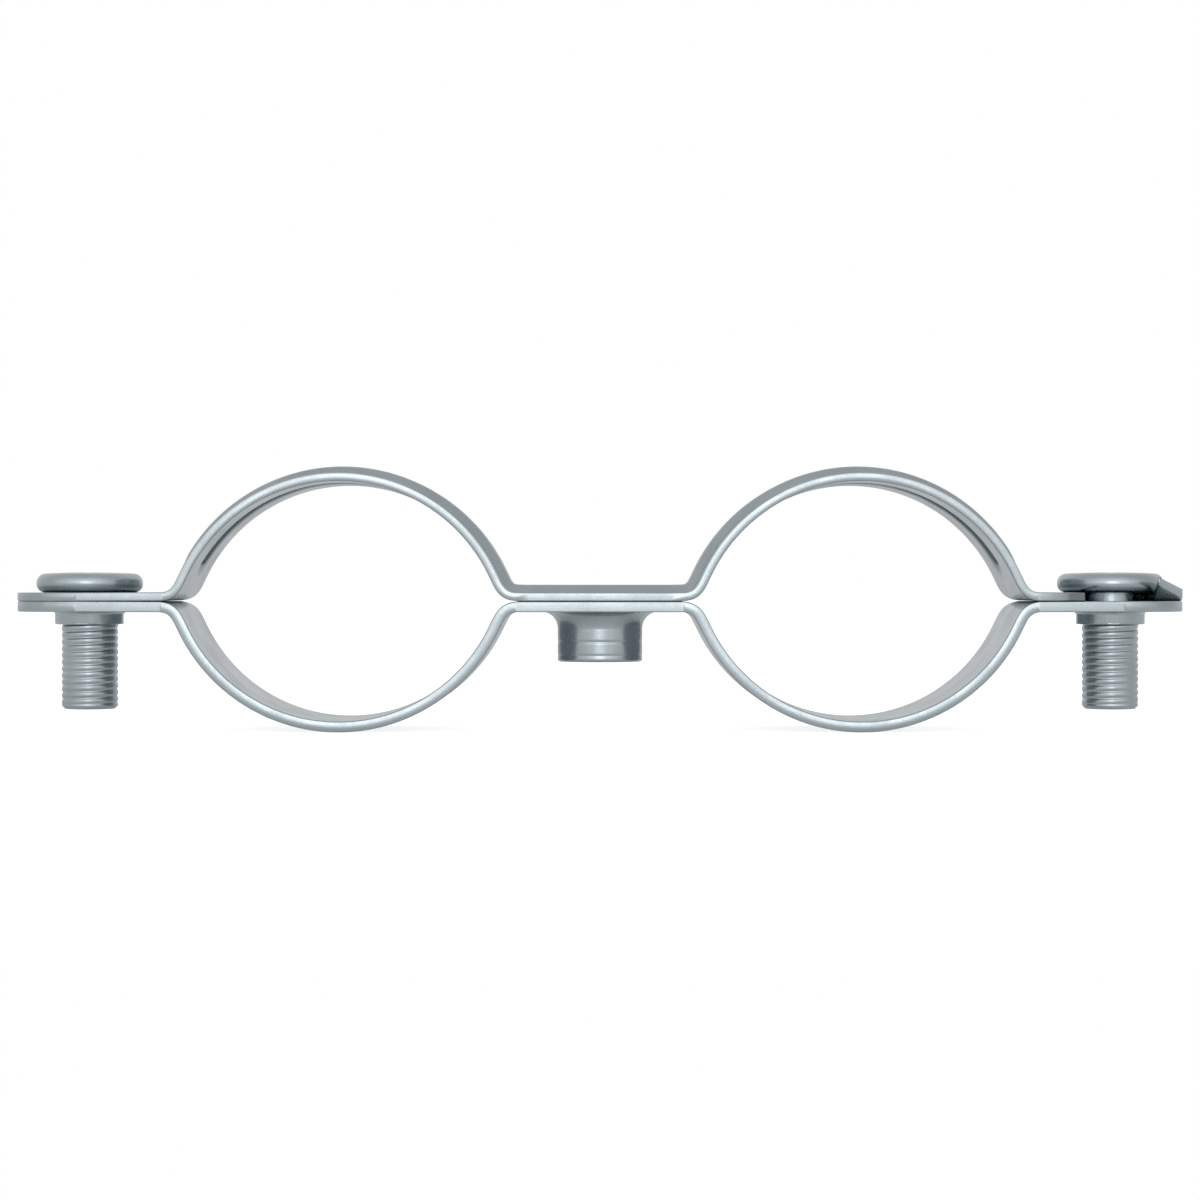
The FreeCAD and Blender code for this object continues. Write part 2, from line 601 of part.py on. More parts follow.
# ---------------------------------------------------------------- screws
def screw(name, side):
    """M5 screw with a low domed head, a plain neck and a combined slot and cross recess.

    The neck is thinner than the thread. It passes through the upper strap, which turns
    on it, and a little way into the entry of the collar.
    """
    body = new_body(name)
    section = new_sketch(body, f"{name}_section", "XZ_Plane")
    shank, length = "Sizes.screw_radius", "(-Sizes.screw_length)"
    neck, foot = "Sizes.neck_radius", "(-Sizes.upper_sheet - Sizes.neck_entry)"
    head, shoulder = "Sizes.head_radius", "(Sizes.head_height - Sizes.head_crown)"
    corners = [
        ("0", length), (shank, length), (shank, foot), (neck, foot), (neck, "0"),
        (head, "0"), (head, shoulder), ("0", "Sizes.head_height"),
    ]
    spots = [(number(x), number(z)) for x, z in corners]
    sides = [line(section, start, end) for start, end in zip(spots[:6], spots[1:7])]
    width, crown = spots[6][0], number("Sizes.head_crown")
    ball = (width ** 2 + crown ** 2) / (2 * crown)
    drop = ball - (ball ** 2 - width ** 2 / 4) ** 0.5
    dome = arc(section, spots[6], (width / 2, spots[7][1] - drop), spots[7])
    core = line(section, spots[7], spots[0])
    loop = sides + [dome, core]
    for index, spot in enumerate(spots):
        join(section, "Coincident", loop[index - 1], loop[index], spot)
    for index, side_line in enumerate(sides):
        kind = "Vertical" if index % 2 else "Horizontal"
        section.addConstraint(Sketcher.Constraint(kind, side_line))
    section.addConstraint(Sketcher.Constraint("PointOnObject", dome, 3, -2))
    place_corner(section, "point", sides[0], 1, "0", length)
    place_corner(section, "thread_start", sides[1], 2, shank, foot)
    place_corner(section, "neck", sides[3], 2, neck, "0")
    place_corner(section, "shoulder", sides[5], 2, head, shoulder)
    place_corner(section, "crown", core, 1, "0", "Sizes.head_height")
    solid = turned(body, f"{name}_blank", section)
    rim, top = number(head), number(shoulder)
    solid = fillet(body, f"{name}_rim", solid, "Sizes.head_rim", lambda edge: circle_at(edge, rim, top))
    solid = fillet(body, f"{name}_foot", solid, "Sizes.head_foot", lambda edge: circle_at(edge, rim, 0))
    chamfer = body.newObject("PartDesign::Chamfer", f"{name}_point")
    tip = number(shank), number(length)
    edges = [f"Edge{i}" for i, edge in enumerate(solid.Shape.Edges, 1) if circle_at(edge, *tip)]
    chamfer.Base = (solid, edges)
    chamfer.setExpression("Size", "Sizes.screw_point")
    doc.recompute()
    bars = (
        ("slot", "Sizes.slot_length", "Sizes.slot_width", "Sizes.slot_depth"),
        ("cross_along", "Sizes.cross_length", "Sizes.slot_width", "Sizes.cross_depth"),
        ("cross_over", "Sizes.slot_width", "Sizes.cross_length", "Sizes.cross_depth"),
    )
    for label, across, along, depth in bars:
        recess = new_sketch(body, f"{name}_{label}_outline", "XY_Plane")
        recess.setExpression("AttachmentOffset.Base.z", "Sizes.head_height")
        x, y = number(across) / 2, number(along) / 2
        edges = close_loop(recess, [(-x, -y), (x, -y), (x, y), (-x, y)])
        for index, kind in enumerate(("Horizontal", "Vertical", "Horizontal", "Vertical")):
            recess.addConstraint(Sketcher.Constraint(kind, edges[index]))
        place_corner(recess, "low", edges[0], 1, f"-{across} / 2", f"-{along} / 2")
        place_corner(recess, "high", edges[2], 1, f"{across} / 2", f"{along} / 2")
        pocket = body.newObject("PartDesign::Pocket", f"{name}_{label}")
        pocket.Profile = recess
        pocket.setExpression("Length", depth)
        doc.recompute()
    body.setExpression("Placement.Base.x", f"{side} * {SCREW}")
    body.setExpression("Placement.Base.z", HEAD_SEAT)
    return body


bodies = [lower_strap(), upper_strap(), screw("left_screw", -1), screw("right_screw", 1)]
doc.recompute()

faults = [item.Name for item in doc.Objects if {"Invalid", "Error"} & set(item.State)]
faults += [body.Label for body in bodies if body.Shape.isNull() or not body.Shape.isValid()]
faults += [body.Label for body in bodies if len(body.Shape.Solids) != 1]
if faults:
    raise RuntimeError(f"failed: {', '.join(faults)}")

os.makedirs("parts", exist_ok=True)
for body in bodies:
    body.Shape.exportStep(f"parts/{body.Label}.step")
    box = body.Shape.BoundBox
    reach_of_box = f"{box.XLength:.2f} x {box.YLength:.2f} x {box.ZLength:.2f} mm"
    print(f"{body.Label}: {body.Shape.Volume:.1f} mm3, {reach_of_box}")
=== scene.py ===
# %% [markdown]
# # A double conduit strap of zinc-plated steel
#
# This strap holds two conduits side by side. It is four pieces of plated steel: a lower
# strap, an upper strap and two screws. Each strap is a flat blank that a press bends to
# shape, so this lesson makes them the same way: first a flat blank with its round ends,
# holes and soft edges, then a bend along a path. The screws are turned and threaded.
#
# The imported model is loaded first. It is the fixed frame: it says where everything is and
# how large it is, and every piece made here stands in the place of one of its nodes.

# %% Load the frame
import math

import bmesh
import bpy
from mathutils import Matrix, Vector


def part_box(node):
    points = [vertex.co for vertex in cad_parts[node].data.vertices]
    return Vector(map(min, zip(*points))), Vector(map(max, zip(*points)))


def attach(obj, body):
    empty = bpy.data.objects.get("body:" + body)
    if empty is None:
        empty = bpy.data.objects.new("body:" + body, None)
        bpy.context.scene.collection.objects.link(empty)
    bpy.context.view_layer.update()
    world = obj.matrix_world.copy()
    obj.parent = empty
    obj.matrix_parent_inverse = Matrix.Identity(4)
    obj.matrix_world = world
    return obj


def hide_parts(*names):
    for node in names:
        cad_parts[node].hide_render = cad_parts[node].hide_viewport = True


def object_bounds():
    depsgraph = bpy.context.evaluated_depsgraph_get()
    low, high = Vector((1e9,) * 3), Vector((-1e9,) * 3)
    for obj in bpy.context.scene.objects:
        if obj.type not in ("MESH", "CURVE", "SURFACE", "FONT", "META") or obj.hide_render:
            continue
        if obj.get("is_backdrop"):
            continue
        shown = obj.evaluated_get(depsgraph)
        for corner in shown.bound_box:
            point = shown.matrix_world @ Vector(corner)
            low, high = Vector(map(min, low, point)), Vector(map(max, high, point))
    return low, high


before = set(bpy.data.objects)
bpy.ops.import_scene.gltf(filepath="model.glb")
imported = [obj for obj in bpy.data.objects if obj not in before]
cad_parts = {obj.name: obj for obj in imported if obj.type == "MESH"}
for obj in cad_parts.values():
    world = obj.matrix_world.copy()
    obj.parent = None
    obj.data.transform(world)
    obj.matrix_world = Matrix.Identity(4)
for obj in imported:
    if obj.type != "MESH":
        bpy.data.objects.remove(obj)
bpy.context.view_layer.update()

print("pieces in the frame:", sorted(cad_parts))

# %% [markdown]
# ## Sizes
#
# Blender works in metres and this object is drawn in millimetres, so small sizes are
# written with MM. What the frame can tell is read from the boxes of its nodes. The other
# sizes are those that a maker would write on the drawing of the strap.

# %% Sizes that the frame tells
MM = 0.001
lower_low, lower_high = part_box("lower_strap")
_, upper_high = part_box("upper_strap")
screw_low, screw_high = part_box("right_screw")

# A box doesn't tell how thick a sheet is, so the two sheets come from the drawing.
UPPER_SHEET = 0.8 * MM
LOWER_SHEET = 1.0 * MM
HALF_WIDTH = lower_high.y
EAR_TIP = lower_high.x
PARTING = lower_high.z
HEAD_SEAT = PARTING + UPPER_SHEET
ARCH_HEIGHT = PARTING - lower_low.z - LOWER_SHEET
BEAD_HEIGHT = upper_high.z - HEAD_SEAT - ARCH_HEIGHT
SCREW_X = (screw_low.x + screw_high.x) / 2
HEAD_RADIUS = (screw_high.x - screw_low.x) / 2
HEAD_HEIGHT = screw_high.z - HEAD_SEAT
SCREW_LENGTH = HEAD_SEAT - screw_low.z
print(f"screws {2 * SCREW_X / MM:.2f} mm apart, arches {ARCH_HEIGHT / MM:.2f} mm high")

# %% Sizes from the drawing of the strap
ARCH_RADIUS = 15.35 * MM
FLANK = 1.1 * MM
BEND_RADIUS = 1.2 * MM
HALF_FLAT = 7.75 * MM
BEND_EASE = 8  # steps of the path that soften it, on either side of each point
PATH_STEP = 0.1 * MM
EDGE_ROUND = 0.12 * MM
HOOK_REACH = 3.5 * MM
NOSE_START = 2.8 * MM
NOSE_BEND = 1.0 * MM
NOSE_ANGLE = math.radians(38.5)
NOSE_TURN = math.radians(40.0)

# %% [markdown]
# ## Nodes in a few words
#
# Geometry trees and materials are both built from nodes. Four small helpers keep their
# making readable: one adds a node and fills its sockets, one does a sum, one goes softly
# from one value to another, and one opens a node group with named inputs and outputs.


# %% Helpers that build nodes
def put(tree, kind, inputs=None, **options):
    """Adds a node, sets its options, and gives its sockets a value or a link."""
    node = tree.nodes.new(kind)
    for option, value in options.items():
        setattr(node, option, value)
    for name, value in (inputs or {}).items():
        if isinstance(value, bpy.types.NodeSocket):
            tree.links.new(value, node.inputs[name])
        else:
            node.inputs[name].default_value = value
    return node


def calc(tree, operation, *values, clamp=False):
    node = put(tree, "ShaderNodeMath", dict(enumerate(values)), operation=operation)
    node.use_clamp = clamp
    return node.outputs[0]


def soft_step(tree, value, first, last, low=0.0, high=1.0):
    """Goes from low, where the value is first, to high, where it is last, with no kink."""
    return put(
        tree, "ShaderNodeMapRange",
        {"Value": value, "From Min": first, "From Max": last, "To Min": low, "To Max": high},
        interpolation_type="SMOOTHSTEP",
    ).outputs["Result"]


def open_group(name, kind, inputs, outputs):
    """A new node group. Inputs are (name, type, value), and outputs are (name, type)."""
    tree = bpy.data.node_groups.new(name, kind)
    for label, socket_type, value in inputs:
        socket = tree.interface.new_socket(label, in_out="INPUT", socket_type=socket_type)
        if value is not None:
            socket.default_value = value
    for label, socket_type in outputs:
        tree.interface.new_socket(label, in_out="OUTPUT", socket_type=socket_type)
    entry = tree.nodes.new("NodeGroupInput").outputs
    leave = tree.nodes.new("NodeGroupOutput").inputs
    return tree, entry, leave


# %% [markdown]
# ## The finish of plated steel
#
# Electro-plated zinc is a satin metal with a cool, slightly blue tone. It isn't even: the
# tone drifts in soft clouds, and the roll leaves hair lines along the sheet. Two node
# groups hold those effects, so that the sheet, its cut edges and the screws can each use
# them with values of their own. Only colours and values leave a group.

# %% Group for the cloudy tone of the plating
CLOUD_SHARE = 0.75
GRAIN_FINENESS = 14.0
DARKEST, LIGHTEST = 0.36, 0.64  # the noise where the tone is darkest and lightest


def plating_tone_group():
    tree, given, result = open_group(
        "plating tone", "ShaderNodeTree",
        [
            ("Vector", "NodeSocketVector", None),
            ("Light Tone", "NodeSocketColor", (0.6, 0.65, 0.68, 1.0)),
            ("Dark Tone", "NodeSocketColor", (0.4, 0.45, 0.48, 1.0)),
            ("Cloud Size", "NodeSocketFloat", 260.0),
            ("Roughness", "NodeSocketFloat", 0.3),
            ("Roughness Drift", "NodeSocketFloat", 0.08),
        ],
        [("Color", "NodeSocketColor"), ("Roughness", "NodeSocketFloat")],
    )
    cloud = put(
        tree, "ShaderNodeTexNoise",
        {"Vector": given["Vector"], "Scale": given["Cloud Size"], "Detail": 4.0},
    ).outputs["Fac"]
    grain_scale = calc(tree, "MULTIPLY", given["Cloud Size"], GRAIN_FINENESS)
    grain = put(
        tree, "ShaderNodeTexNoise",
        {"Vector": given["Vector"], "Scale": grain_scale, "Detail": 2.0},
    ).outputs["Fac"]
    clouds = calc(tree, "MULTIPLY", cloud, CLOUD_SHARE)
    grains = calc(tree, "MULTIPLY", grain, 1.0 - CLOUD_SHARE)
    spread = soft_step(tree, calc(tree, "ADD", clouds, grains), DARKEST, LIGHTEST)
    tone = put(
        tree, "ShaderNodeMix",
        {"Factor": spread, 6: given["Dark Tone"], 7: given["Light Tone"]},
        data_type="RGBA",
    ).outputs[2]
    from_mean = calc(tree, "SUBTRACT", 0.5, spread)
    drift = calc(tree, "MULTIPLY", from_mean, given["Roughness Drift"])
    tree.links.new(tone, result["Color"])
    tree.links.new(calc(tree, "ADD", given["Roughness"], drift), result["Roughness"])
    return tree


PLATING_TONE = plating_tone_group()
print("group:", PLATING_TONE.name)

# %% [markdown]
# The second group draws lines that follow the strip or cross it. It stretches a noise much
# more one way than the other, which costs less than drawing each line.


# %% Group for lines that follow the strip or cross it
def line_group():
    tree, given, result = open_group(
        "fine lines", "ShaderNodeTree",
        [
            ("Vector", "NodeSocketVector", None),
            ("Lines Along", "NodeSocketFloat", 900.0),
            ("Lines Across", "NodeSocketFloat", 9000.0),
            ("Contrast", "NodeSocketFloat", 1.0),
        ],
        [("Lines", "NodeSocketFloat")],
    )
    parts = put(tree, "ShaderNodeSeparateXYZ", {"Vector": given["Vector"]}).outputs
    stretched = put(
        tree, "ShaderNodeCombineXYZ",
        {
            "X": calc(tree, "MULTIPLY", parts["X"], given["Lines Along"]),
            "Y": calc(tree, "MULTIPLY", parts["Y"], given["Lines Across"]),
        },
    ).outputs[0]
    lines = put(
        tree, "ShaderNodeTexNoise", {"Vector": stretched, "Scale": 1.0, "Detail": 3.0},
        noise_dimensions="2D",
    ).outputs["Fac"]
    centred = calc(tree, "MULTIPLY", calc(tree, "SUBTRACT", lines, 0.5), given["Contrast"])
    tree.links.new(calc(tree, "ADD", centred, 0.5, clamp=True), result["Lines"])
    return tree


FINE_LINES = line_group()
print("group:", FINE_LINES.name)

# %% [markdown]
# Each finish is one material. The Principled shader stays in the material itself, and the
# values that are the same all over the surface are set on its own sockets. The rolled
# face of the sheet and the screws differ in tone and gloss. The cut edge gets a lighter tone
# than the rolled face. That is painted light: it stands for the light that falls on the edges
# facing the camera. Short lines run across the edge, where the shear has torn the steel.

# %% Materials
GRAIN_DEPTH = 0.004 * MM
GRAIN_SCALE = 2600.0
TORN_DARK, TORN_BRIGHT = 0.84, 1.10


def start_metal(name):
    material = bpy.data.materials.new(name)
    material.use_nodes = True
    tree = material.node_tree
    shader = tree.nodes["Principled BSDF"]
    shader.inputs["Metallic"].default_value = 1.0
    return material, tree, shader


def add_tone(tree, shader, vector, light, dark, cloud, rough, drift):
    tone = put(
        tree, "ShaderNodeGroup",
        {
            "Vector": vector, "Light Tone": (*light, 1.0), "Dark Tone": (*dark, 1.0),
            "Cloud Size": cloud, "Roughness": rough, "Roughness Drift": drift,
        },
        node_tree=PLATING_TONE,
    ).outputs
    tree.links.new(tone["Roughness"], shader.inputs["Roughness"])
    return tone["Color"]


def add_lines(tree, vector, along, across, contrast):
    return put(
        tree, "ShaderNodeGroup",
        {"Vector": vector, "Lines Along": along, "Lines Across": across, "Contrast": contrast},
        node_tree=FINE_LINES,
    ).outputs["Lines"]


def add_bump(tree, shader, height, strength):
    bump = put(
        tree, "ShaderNodeBump",
        {"Height": height, "Distance": GRAIN_DEPTH, "Strength": strength},
    )
    tree.links.new(bump.outputs["Normal"], shader.inputs["Normal"])


def rolled_face():
    material, tree, shader = start_metal("zinc on the rolled face")
    place = put(tree, "ShaderNodeTexCoord").outputs
    colour = add_tone(
        tree, shader, place["Object"], light=(0.42, 0.47, 0.495), dark=(0.375, 0.425, 0.45),
        cloud=230.0, rough=0.27, drift=0.06,
    )
    tree.links.new(colour, shader.inputs["Base Color"])
    hair = add_lines(tree, place["UV"], along=120.0, across=7000.0, contrast=0.8)
    add_bump(tree, shader, hair, strength=0.5)
    return material


def cut_edge():
    material, tree, shader = start_metal("zinc on the cut edge")
    place = put(tree, "ShaderNodeTexCoord").outputs
    # Painted light: the edge is the same zinc as the face, and these lighter tones stand for the
    # lamp's light on the edges that face the camera.
    colour = add_tone(
        tree, shader, place["Object"], light=(0.62, 0.675, 0.70), dark=(0.56, 0.61, 0.64),
        cloud=180.0, rough=0.34, drift=0.06,
    )
    torn = add_lines(tree, place["UV"], along=2600.0, across=120.0, contrast=1.8)
    shade = put(
        tree, "ShaderNodeMapRange", {"Value": torn, "To Min": TORN_DARK, "To Max": TORN_BRIGHT}
    ).outputs["Result"]
    streaked = put(
        tree, "ShaderNodeVectorMath", {0: colour, "Scale": shade}, operation="SCALE"
    ).outputs["Vector"]
    tree.links.new(streaked, shader.inputs["Base Color"])
    add_bump(tree, shader, torn, strength=0.3)
    return material


def turned_face():
    material, tree, shader = start_metal("zinc on the turned parts")
    place = put(tree, "ShaderNodeTexCoord").outputs
    colour = add_tone(
        tree, shader, place["Object"], light=(0.53, 0.59, 0.62), dark=(0.47, 0.53, 0.56),
        cloud=300.0, rough=0.19, drift=0.05,
    )
    tree.links.new(colour, shader.inputs["Base Color"])
    grain = put(
        tree, "ShaderNodeTexNoise", {"Vector": place["Object"], "Scale": GRAIN_SCALE}
    ).outputs["Fac"]
    add_bump(tree, shader, grain, strength=0.2)
    return material


ROLLED = rolled_face()
CUT = cut_edge()
TURNED = turned_face()
print("materials:", [material.name for material in (ROLLED, CUT, TURNED)])

# %% [markdown]
# ## The path of a strap
#
# Seen from the front, a strap is flat in the middle, turns up through a bend and a short
# straight flank, goes over an arch and comes back down to a flat ear. Every stretch meets
# the next without a kink, and that alone fixes the angle of the flank. A press never bends
# a sheet all at once, so the path is then eased: each of its points moves to the mean of
# its neighbours. The path is the inside face of the sheet. Its marks, measured along the
# strap from the middle, say where each bend and arch starts.


# %% Inside line of a strap
def arc_points(x, y, radius, first, last, count=6):
    """Points round an arc, in even steps from the first angle in degrees to the last."""
    ways = [math.radians(first + (last - first) * index / count) for index in range(count + 1)]
    return [(x + radius * math.cos(way), y + radius * math.sin(way)) for way in ways]


def strap_outline(sheet):
    """A bend's radius, the flank's angle and how far a bend's centre is from the arch's."""
    bend = BEND_RADIUS + sheet
    radii = ARCH_RADIUS + bend
    rise = radii - ARCH_HEIGHT
    angle = math.acos(rise / math.hypot(radii, FLANK)) - math.atan2(FLANK, radii)
    reach = radii * math.sin(angle) + FLANK * math.cos(angle)
    return bend, angle, reach


RING_X = HALF_FLAT + strap_outline(LOWER_SHEET)[2]


def eased(points):
    """Bends that start and end softly: each point becomes the mean of those near it."""
    soft = []
    for index in range(len(points)):
        reach = min(BEND_EASE, index, len(points) - 1 - index)
        near = points[index - reach : index + reach + 1]
        soft.append(tuple(sum(values) / len(near) for values in zip(*near)))
    return soft


def strap_path(sheet, step=PATH_STEP):
    """Points (x, z) from the middle to the right end, and marks along the way.

    The marks are the lengths at the middle, at both ends of each of the three arcs, and at
    the tip of the ear.
    """
    bend, angle, reach = strap_outline(sheet)
    arch_z = ARCH_HEIGHT - ARCH_RADIUS
    turn = math.degrees(angle)
    arcs = [
        (RING_X - reach, bend, bend, -90.0, turn - 90.0),
        (RING_X, arch_z, ARCH_RADIUS, 90.0 + turn, 90.0 - turn),
        (RING_X + reach, bend, bend, -90.0 - turn, -90.0),
    ]
    points = [(0.0, 0.0)]
    ends = []

    def straight_to(end):
        """Even points to the end, so that the path doesn't start to turn before it."""
        start = points[-1]
        count = math.ceil(math.dist(start, end) / step)
        for index in range(1, count + 1):
            share = index / count
            points.append(tuple(a + (b - a) * share for a, b in zip(start, end)))

    for x, z, radius, first, last in arcs:
        count = math.ceil(math.radians(abs(last - first)) * radius / step)
        arc = arc_points(x, z, radius, first, last, count)
        straight_to(arc[0])
        points += arc[1:]
        ends += [len(points) - 1 - count, len(points) - 1]
    straight_to((EAR_TIP, 0.0))
    points = eased(points)
    lengths = [0.0]
    for (x0, z0), (x1, z1) in zip(points, points[1:]):
        lengths.append(lengths[-1] + math.hypot(x1 - x0, z1 - z0))
    marks = [0.0] + [lengths[end] for end in ends] + [lengths[-1]]
    return points, marks


lower_points, lower_marks = strap_path(LOWER_SHEET)
upper_points, upper_marks = strap_path(UPPER_SHEET)
print(f"each strap is {2 * lower_marks[-1] / MM:.1f} mm long before it is bent")

# %% [markdown]
# ## A flat blank
#
# A blank is drawn as panels: small flat faces that are welded into one skin at the end.
# Every panel knows its place, its map along the strip, and whether it is a cut edge. The
# rim is made first. It carries a rounded profile round the whole outline, because a real
# edge is never sharp, and that thin round line is what catches the light.

# %% Panels and welding
SHEET_FACE, CUT_FACE = 0, 1
SAME_SPOT = 2e-6


def weld(name, panels):
    """One closed skin from panels of (corners, map points, finish)."""
    mesh = bpy.data.meshes.new(name)
    work = bmesh.new()
    layer = work.loops.layers.uv.new("strip")
    cut = work.faces.layers.float.new("cut")
    for corners, spots, finish in panels:
        face = work.faces.new([work.verts.new(corner) for corner in corners])
        face[cut] = finish
        face.smooth = True
        for loop, spot in zip(face.loops, spots):
            loop[layer].uv = spot
    bmesh.ops.remove_doubles(work, verts=work.verts, dist=SAME_SPOT)
    bmesh.ops.recalc_face_normals(work, faces=work.faces)
    work.to_mesh(mesh)
    work.free()
    return mesh


def square(start, end, low, high):
    """The four corners of a panel that runs from start to end and from low to high."""
    return [(start, low), (end, low), (end, high), (start, high)]


def level_panel(loop, height):
    """A flat panel of the sheet at one height, from its corners (x, y)."""
    corners = [(x, y, height) for x, y in loop]
    return corners, list(loop), SHEET_FACE


# %% [markdown]
# The shear leaves a square edge, and the plating bath and the barrel round it off. The
# profile of that edge has two quarter rounds with a flat between them. Sweeping it round
# the outline keeps the round the same size everywhere, also at the corners of the hook.


# %% The rounded profile of a cut edge
def edge_profile(sheet, steps=3):
    """Pairs of (how far in from the edge, height) from the lower face to the upper."""
    turns = [math.pi / 2 * index / steps for index in range(steps + 1)]
    low = [(EDGE_ROUND * (1 - math.sin(t)), EDGE_ROUND * (1 - math.cos(t))) for t in turns]
    high = [(inset, sheet - height) for inset, height in reversed(low)]
    return low + high


def rim_panels(outline, sheet):
    """Sweeps the profile round an outline of (x, y, way out)."""
    profile = edge_profile(sheet)
    runs = [0.0]
    for (x0, y0, _), (x1, y1, _) in zip(outline, outline[1:] + outline[:1]):
        runs.append(runs[-1] + math.hypot(x1 - x0, y1 - y0))

    def corner(spot, step):
        x, y, (out_x, out_y) = spot
        inset, height = step
        return x - out_x * inset, y - out_y * inset, height

    panels = []
    for index, here in enumerate(outline):
        there = outline[(index + 1) % len(outline)]
        for low, high in zip(profile, profile[1:]):
            corners = [
                corner(here, low), corner(there, low),
                corner(there, high), corner(here, high),
            ]
            spots = square(runs[index], runs[index + 1], low[1], high[1])
            panels.append((corners, spots, CUT_FACE))
    return panels


# %% [markdown]
# The rest of the blank is its two faces. Between the ears they are a grid, close where the
# strip will be bent and with more rows where the bead will be pressed. An ear is one panel
# on each face, split along the middle so that it can go round a hole.


# %% The outline of an ear and the faces of the strip
def arc_spots(centre, radius, first, last, count, out=1):
    """Spots (x, y, way out) along an arc. out is -1 where metal lies outside the arc."""
    leans = arc_points(0.0, 0.0, 1.0, first, last, count)
    return [(centre + radius * x, radius * y, (out * x, out * y)) for x, y in leans]


def flipped(spots):
    """The same stretch of outline at the left end, in the order that goes on round."""
    return [(-x, y, (-out[0], out[1])) for x, y, out in reversed(spots)]


def inset(spots):
    """The line that an outline's faces reach, inside the rounded edge."""
    return [(x - out[0] * EDGE_ROUND, y - out[1] * EDGE_ROUND) for x, y, out in spots]


def spread(marks, steps):
    """Stations along the strip: each stretch between two marks in equal steps."""
    stations = [marks[0]]
    for start, end, step in zip(marks, marks[1:], steps):
        count = max(1, math.ceil((end - start) / step))
        stations += [start + (end - start) * index / count for index in range(1, count + 1)]
    return stations


def both_ways(values):
    return [-value for value in reversed(values) if value > 0] + list(values)


def grid_panels(stations, rows, heights, skip=()):
    """The faces of the strip between the ears, at both heights."""
    panels = []
    for start, end in zip(stations, stations[1:]):
        if any(low <= start and end <= high for low, high in skip):
            continue
        for front, back in zip(rows, rows[1:]):
            loop = square(start, end, front, back)
            panels += [level_panel(loop, height) for height in heights]
    return panels


# %% [markdown]
# A hole is one ring of points, and a face that holds it is two panels that meet on a line
# through its centre. Everything round on this object has the same number of steps, so a
# tube that is drawn out of a hole meets the rim of the hole point for point.

# %% Panels with a hole
AROUND = 96


def ring(centre, radius, first, last):
    """Points (x, y) round part of a hole, in the steps that every turned part uses."""
    count = round(abs(last - first) / 360 * AROUND)
    return arc_points(centre, 0.0, radius, first, last, count)


def holed_faces(front, back, centre, radius, height):
    """A face split in two round a hole.

    front runs from the left end of the split line round the front to its right end, and
    back runs on from there round the back.
    """
    front_loop = front + ring(centre, radius, 0, -180)
    back_loop = back + ring(centre, radius, 180, 0)
    return [level_panel(front_loop, height), level_panel(back_loop, height)]


def ear_with_hole(rim, rows, seam, centre, radius, height):
    line = inset(rim)
    middle = len(line) // 2
    front = [(seam, row) for row in reversed(rows) if row <= 0] + line[: middle + 1]
    back = line[middle:] + [(seam, row) for row in reversed(rows) if row >= 0]
    return holed_faces(front, back, centre, radius, height)


def at_left(panels):
    """The same panels at the left end."""
    turned = []
    for corners, spots, finish in panels:
        flat = [(-u, v) for u, v in spots]
        turned.append(([(-x, y, z) for x, y, z in corners], flat, finish))
    return turned


# %% [markdown]
# ## The blank of the lower strap
#
# The lower strap has three holes, all of which are drawn down into threaded tubes later:
# a large one in the middle for the boss, and one in each ear for the collars. The hole in
# the lower face is wider than the one in the upper face, because the sheet curves down
# into the tube.

# %% Lower blank
END_STEPS = AROUND // 2
BOSS_BORE = 2.5 * MM
BOSS_OUTER = 4.0 * MM
BOSS_ROOT = 1.6 * MM
BOSS_ENTRY = 0.9 * MM
COLLAR_BORE = 2.66 * MM
COLLAR_OUTER = 3.22 * MM
COLLAR_ROOT = 0.3 * MM
COLLAR_ENTRY = 0.5 * MM
FACE_EDGE = HALF_WIDTH - EDGE_ROUND


def straight_rim(stations, side):
    """The spots along one long edge: side is -1 for the front and 1 for the back."""
    ordered = stations if side < 0 else list(reversed(stations))
    return [(x, side * HALF_WIDTH, (0.0, side)) for x in ordered]


def lower_blank():
    sheet, marks = LOWER_SHEET, lower_marks
    seam, screw_at = marks[6], marks[7] - HALF_WIDTH
    # In the bend, up the flank, over the arch, down the flank and in the bend.
    steps = [0.2 * MM, 0.5 * MM, 0.35 * MM, 0.5 * MM, 0.2 * MM]
    stations = both_ways(spread(marks[1:7], steps))
    rows = [-FACE_EDGE, 0.0, FACE_EDGE]
    end = arc_spots(screw_at, HALF_WIDTH, -90, 90, END_STEPS)
    outline = straight_rim(stations, -1) + end + straight_rim(stations, 1) + flipped(end)
    panels = rim_panels(outline, sheet)
    panels += grid_panels(stations, rows, (0.0, sheet), skip=[(-HALF_FLAT, HALF_FLAT)])
    left = [(-HALF_FLAT, 0.0), (-HALF_FLAT, -FACE_EDGE)]
    front = left + [(-x, y) for x, y in reversed(left)]
    back = [(-x, -y) for x, y in front]
    ears = []
    faces = (
        (0.0, BOSS_BORE + BOSS_ENTRY, COLLAR_BORE + COLLAR_ENTRY),
        (sheet, BOSS_OUTER + BOSS_ROOT, COLLAR_OUTER + COLLAR_ROOT),
    )
    for height, boss_hole, collar_hole in faces:
        panels += holed_faces(front, back, 0.0, boss_hole, height)
        ears += ear_with_hole(end, rows, seam, screw_at, collar_hole, height)
    return weld("lower blank", panels + ears + at_left(ears))


blank_of_lower = lower_blank()
print("lower blank:", len(blank_of_lower.polygons), "faces")

# %% [markdown]
# ## The blank of the upper strap, with its hook
#
# The left ear has a plain hole, because the left screw is the pivot. The right ear is a
# hook: a slot runs in from the front edge to a round seat, so that the strap can swing on
# and off the right screw. The corner beyond the slot is the nose. It is cut straight and
# bent up beside the screw's head, so that the strap can't swing off before the screw is
# backed off. Both faces rise alike, first round an arc and then up a straight slope.

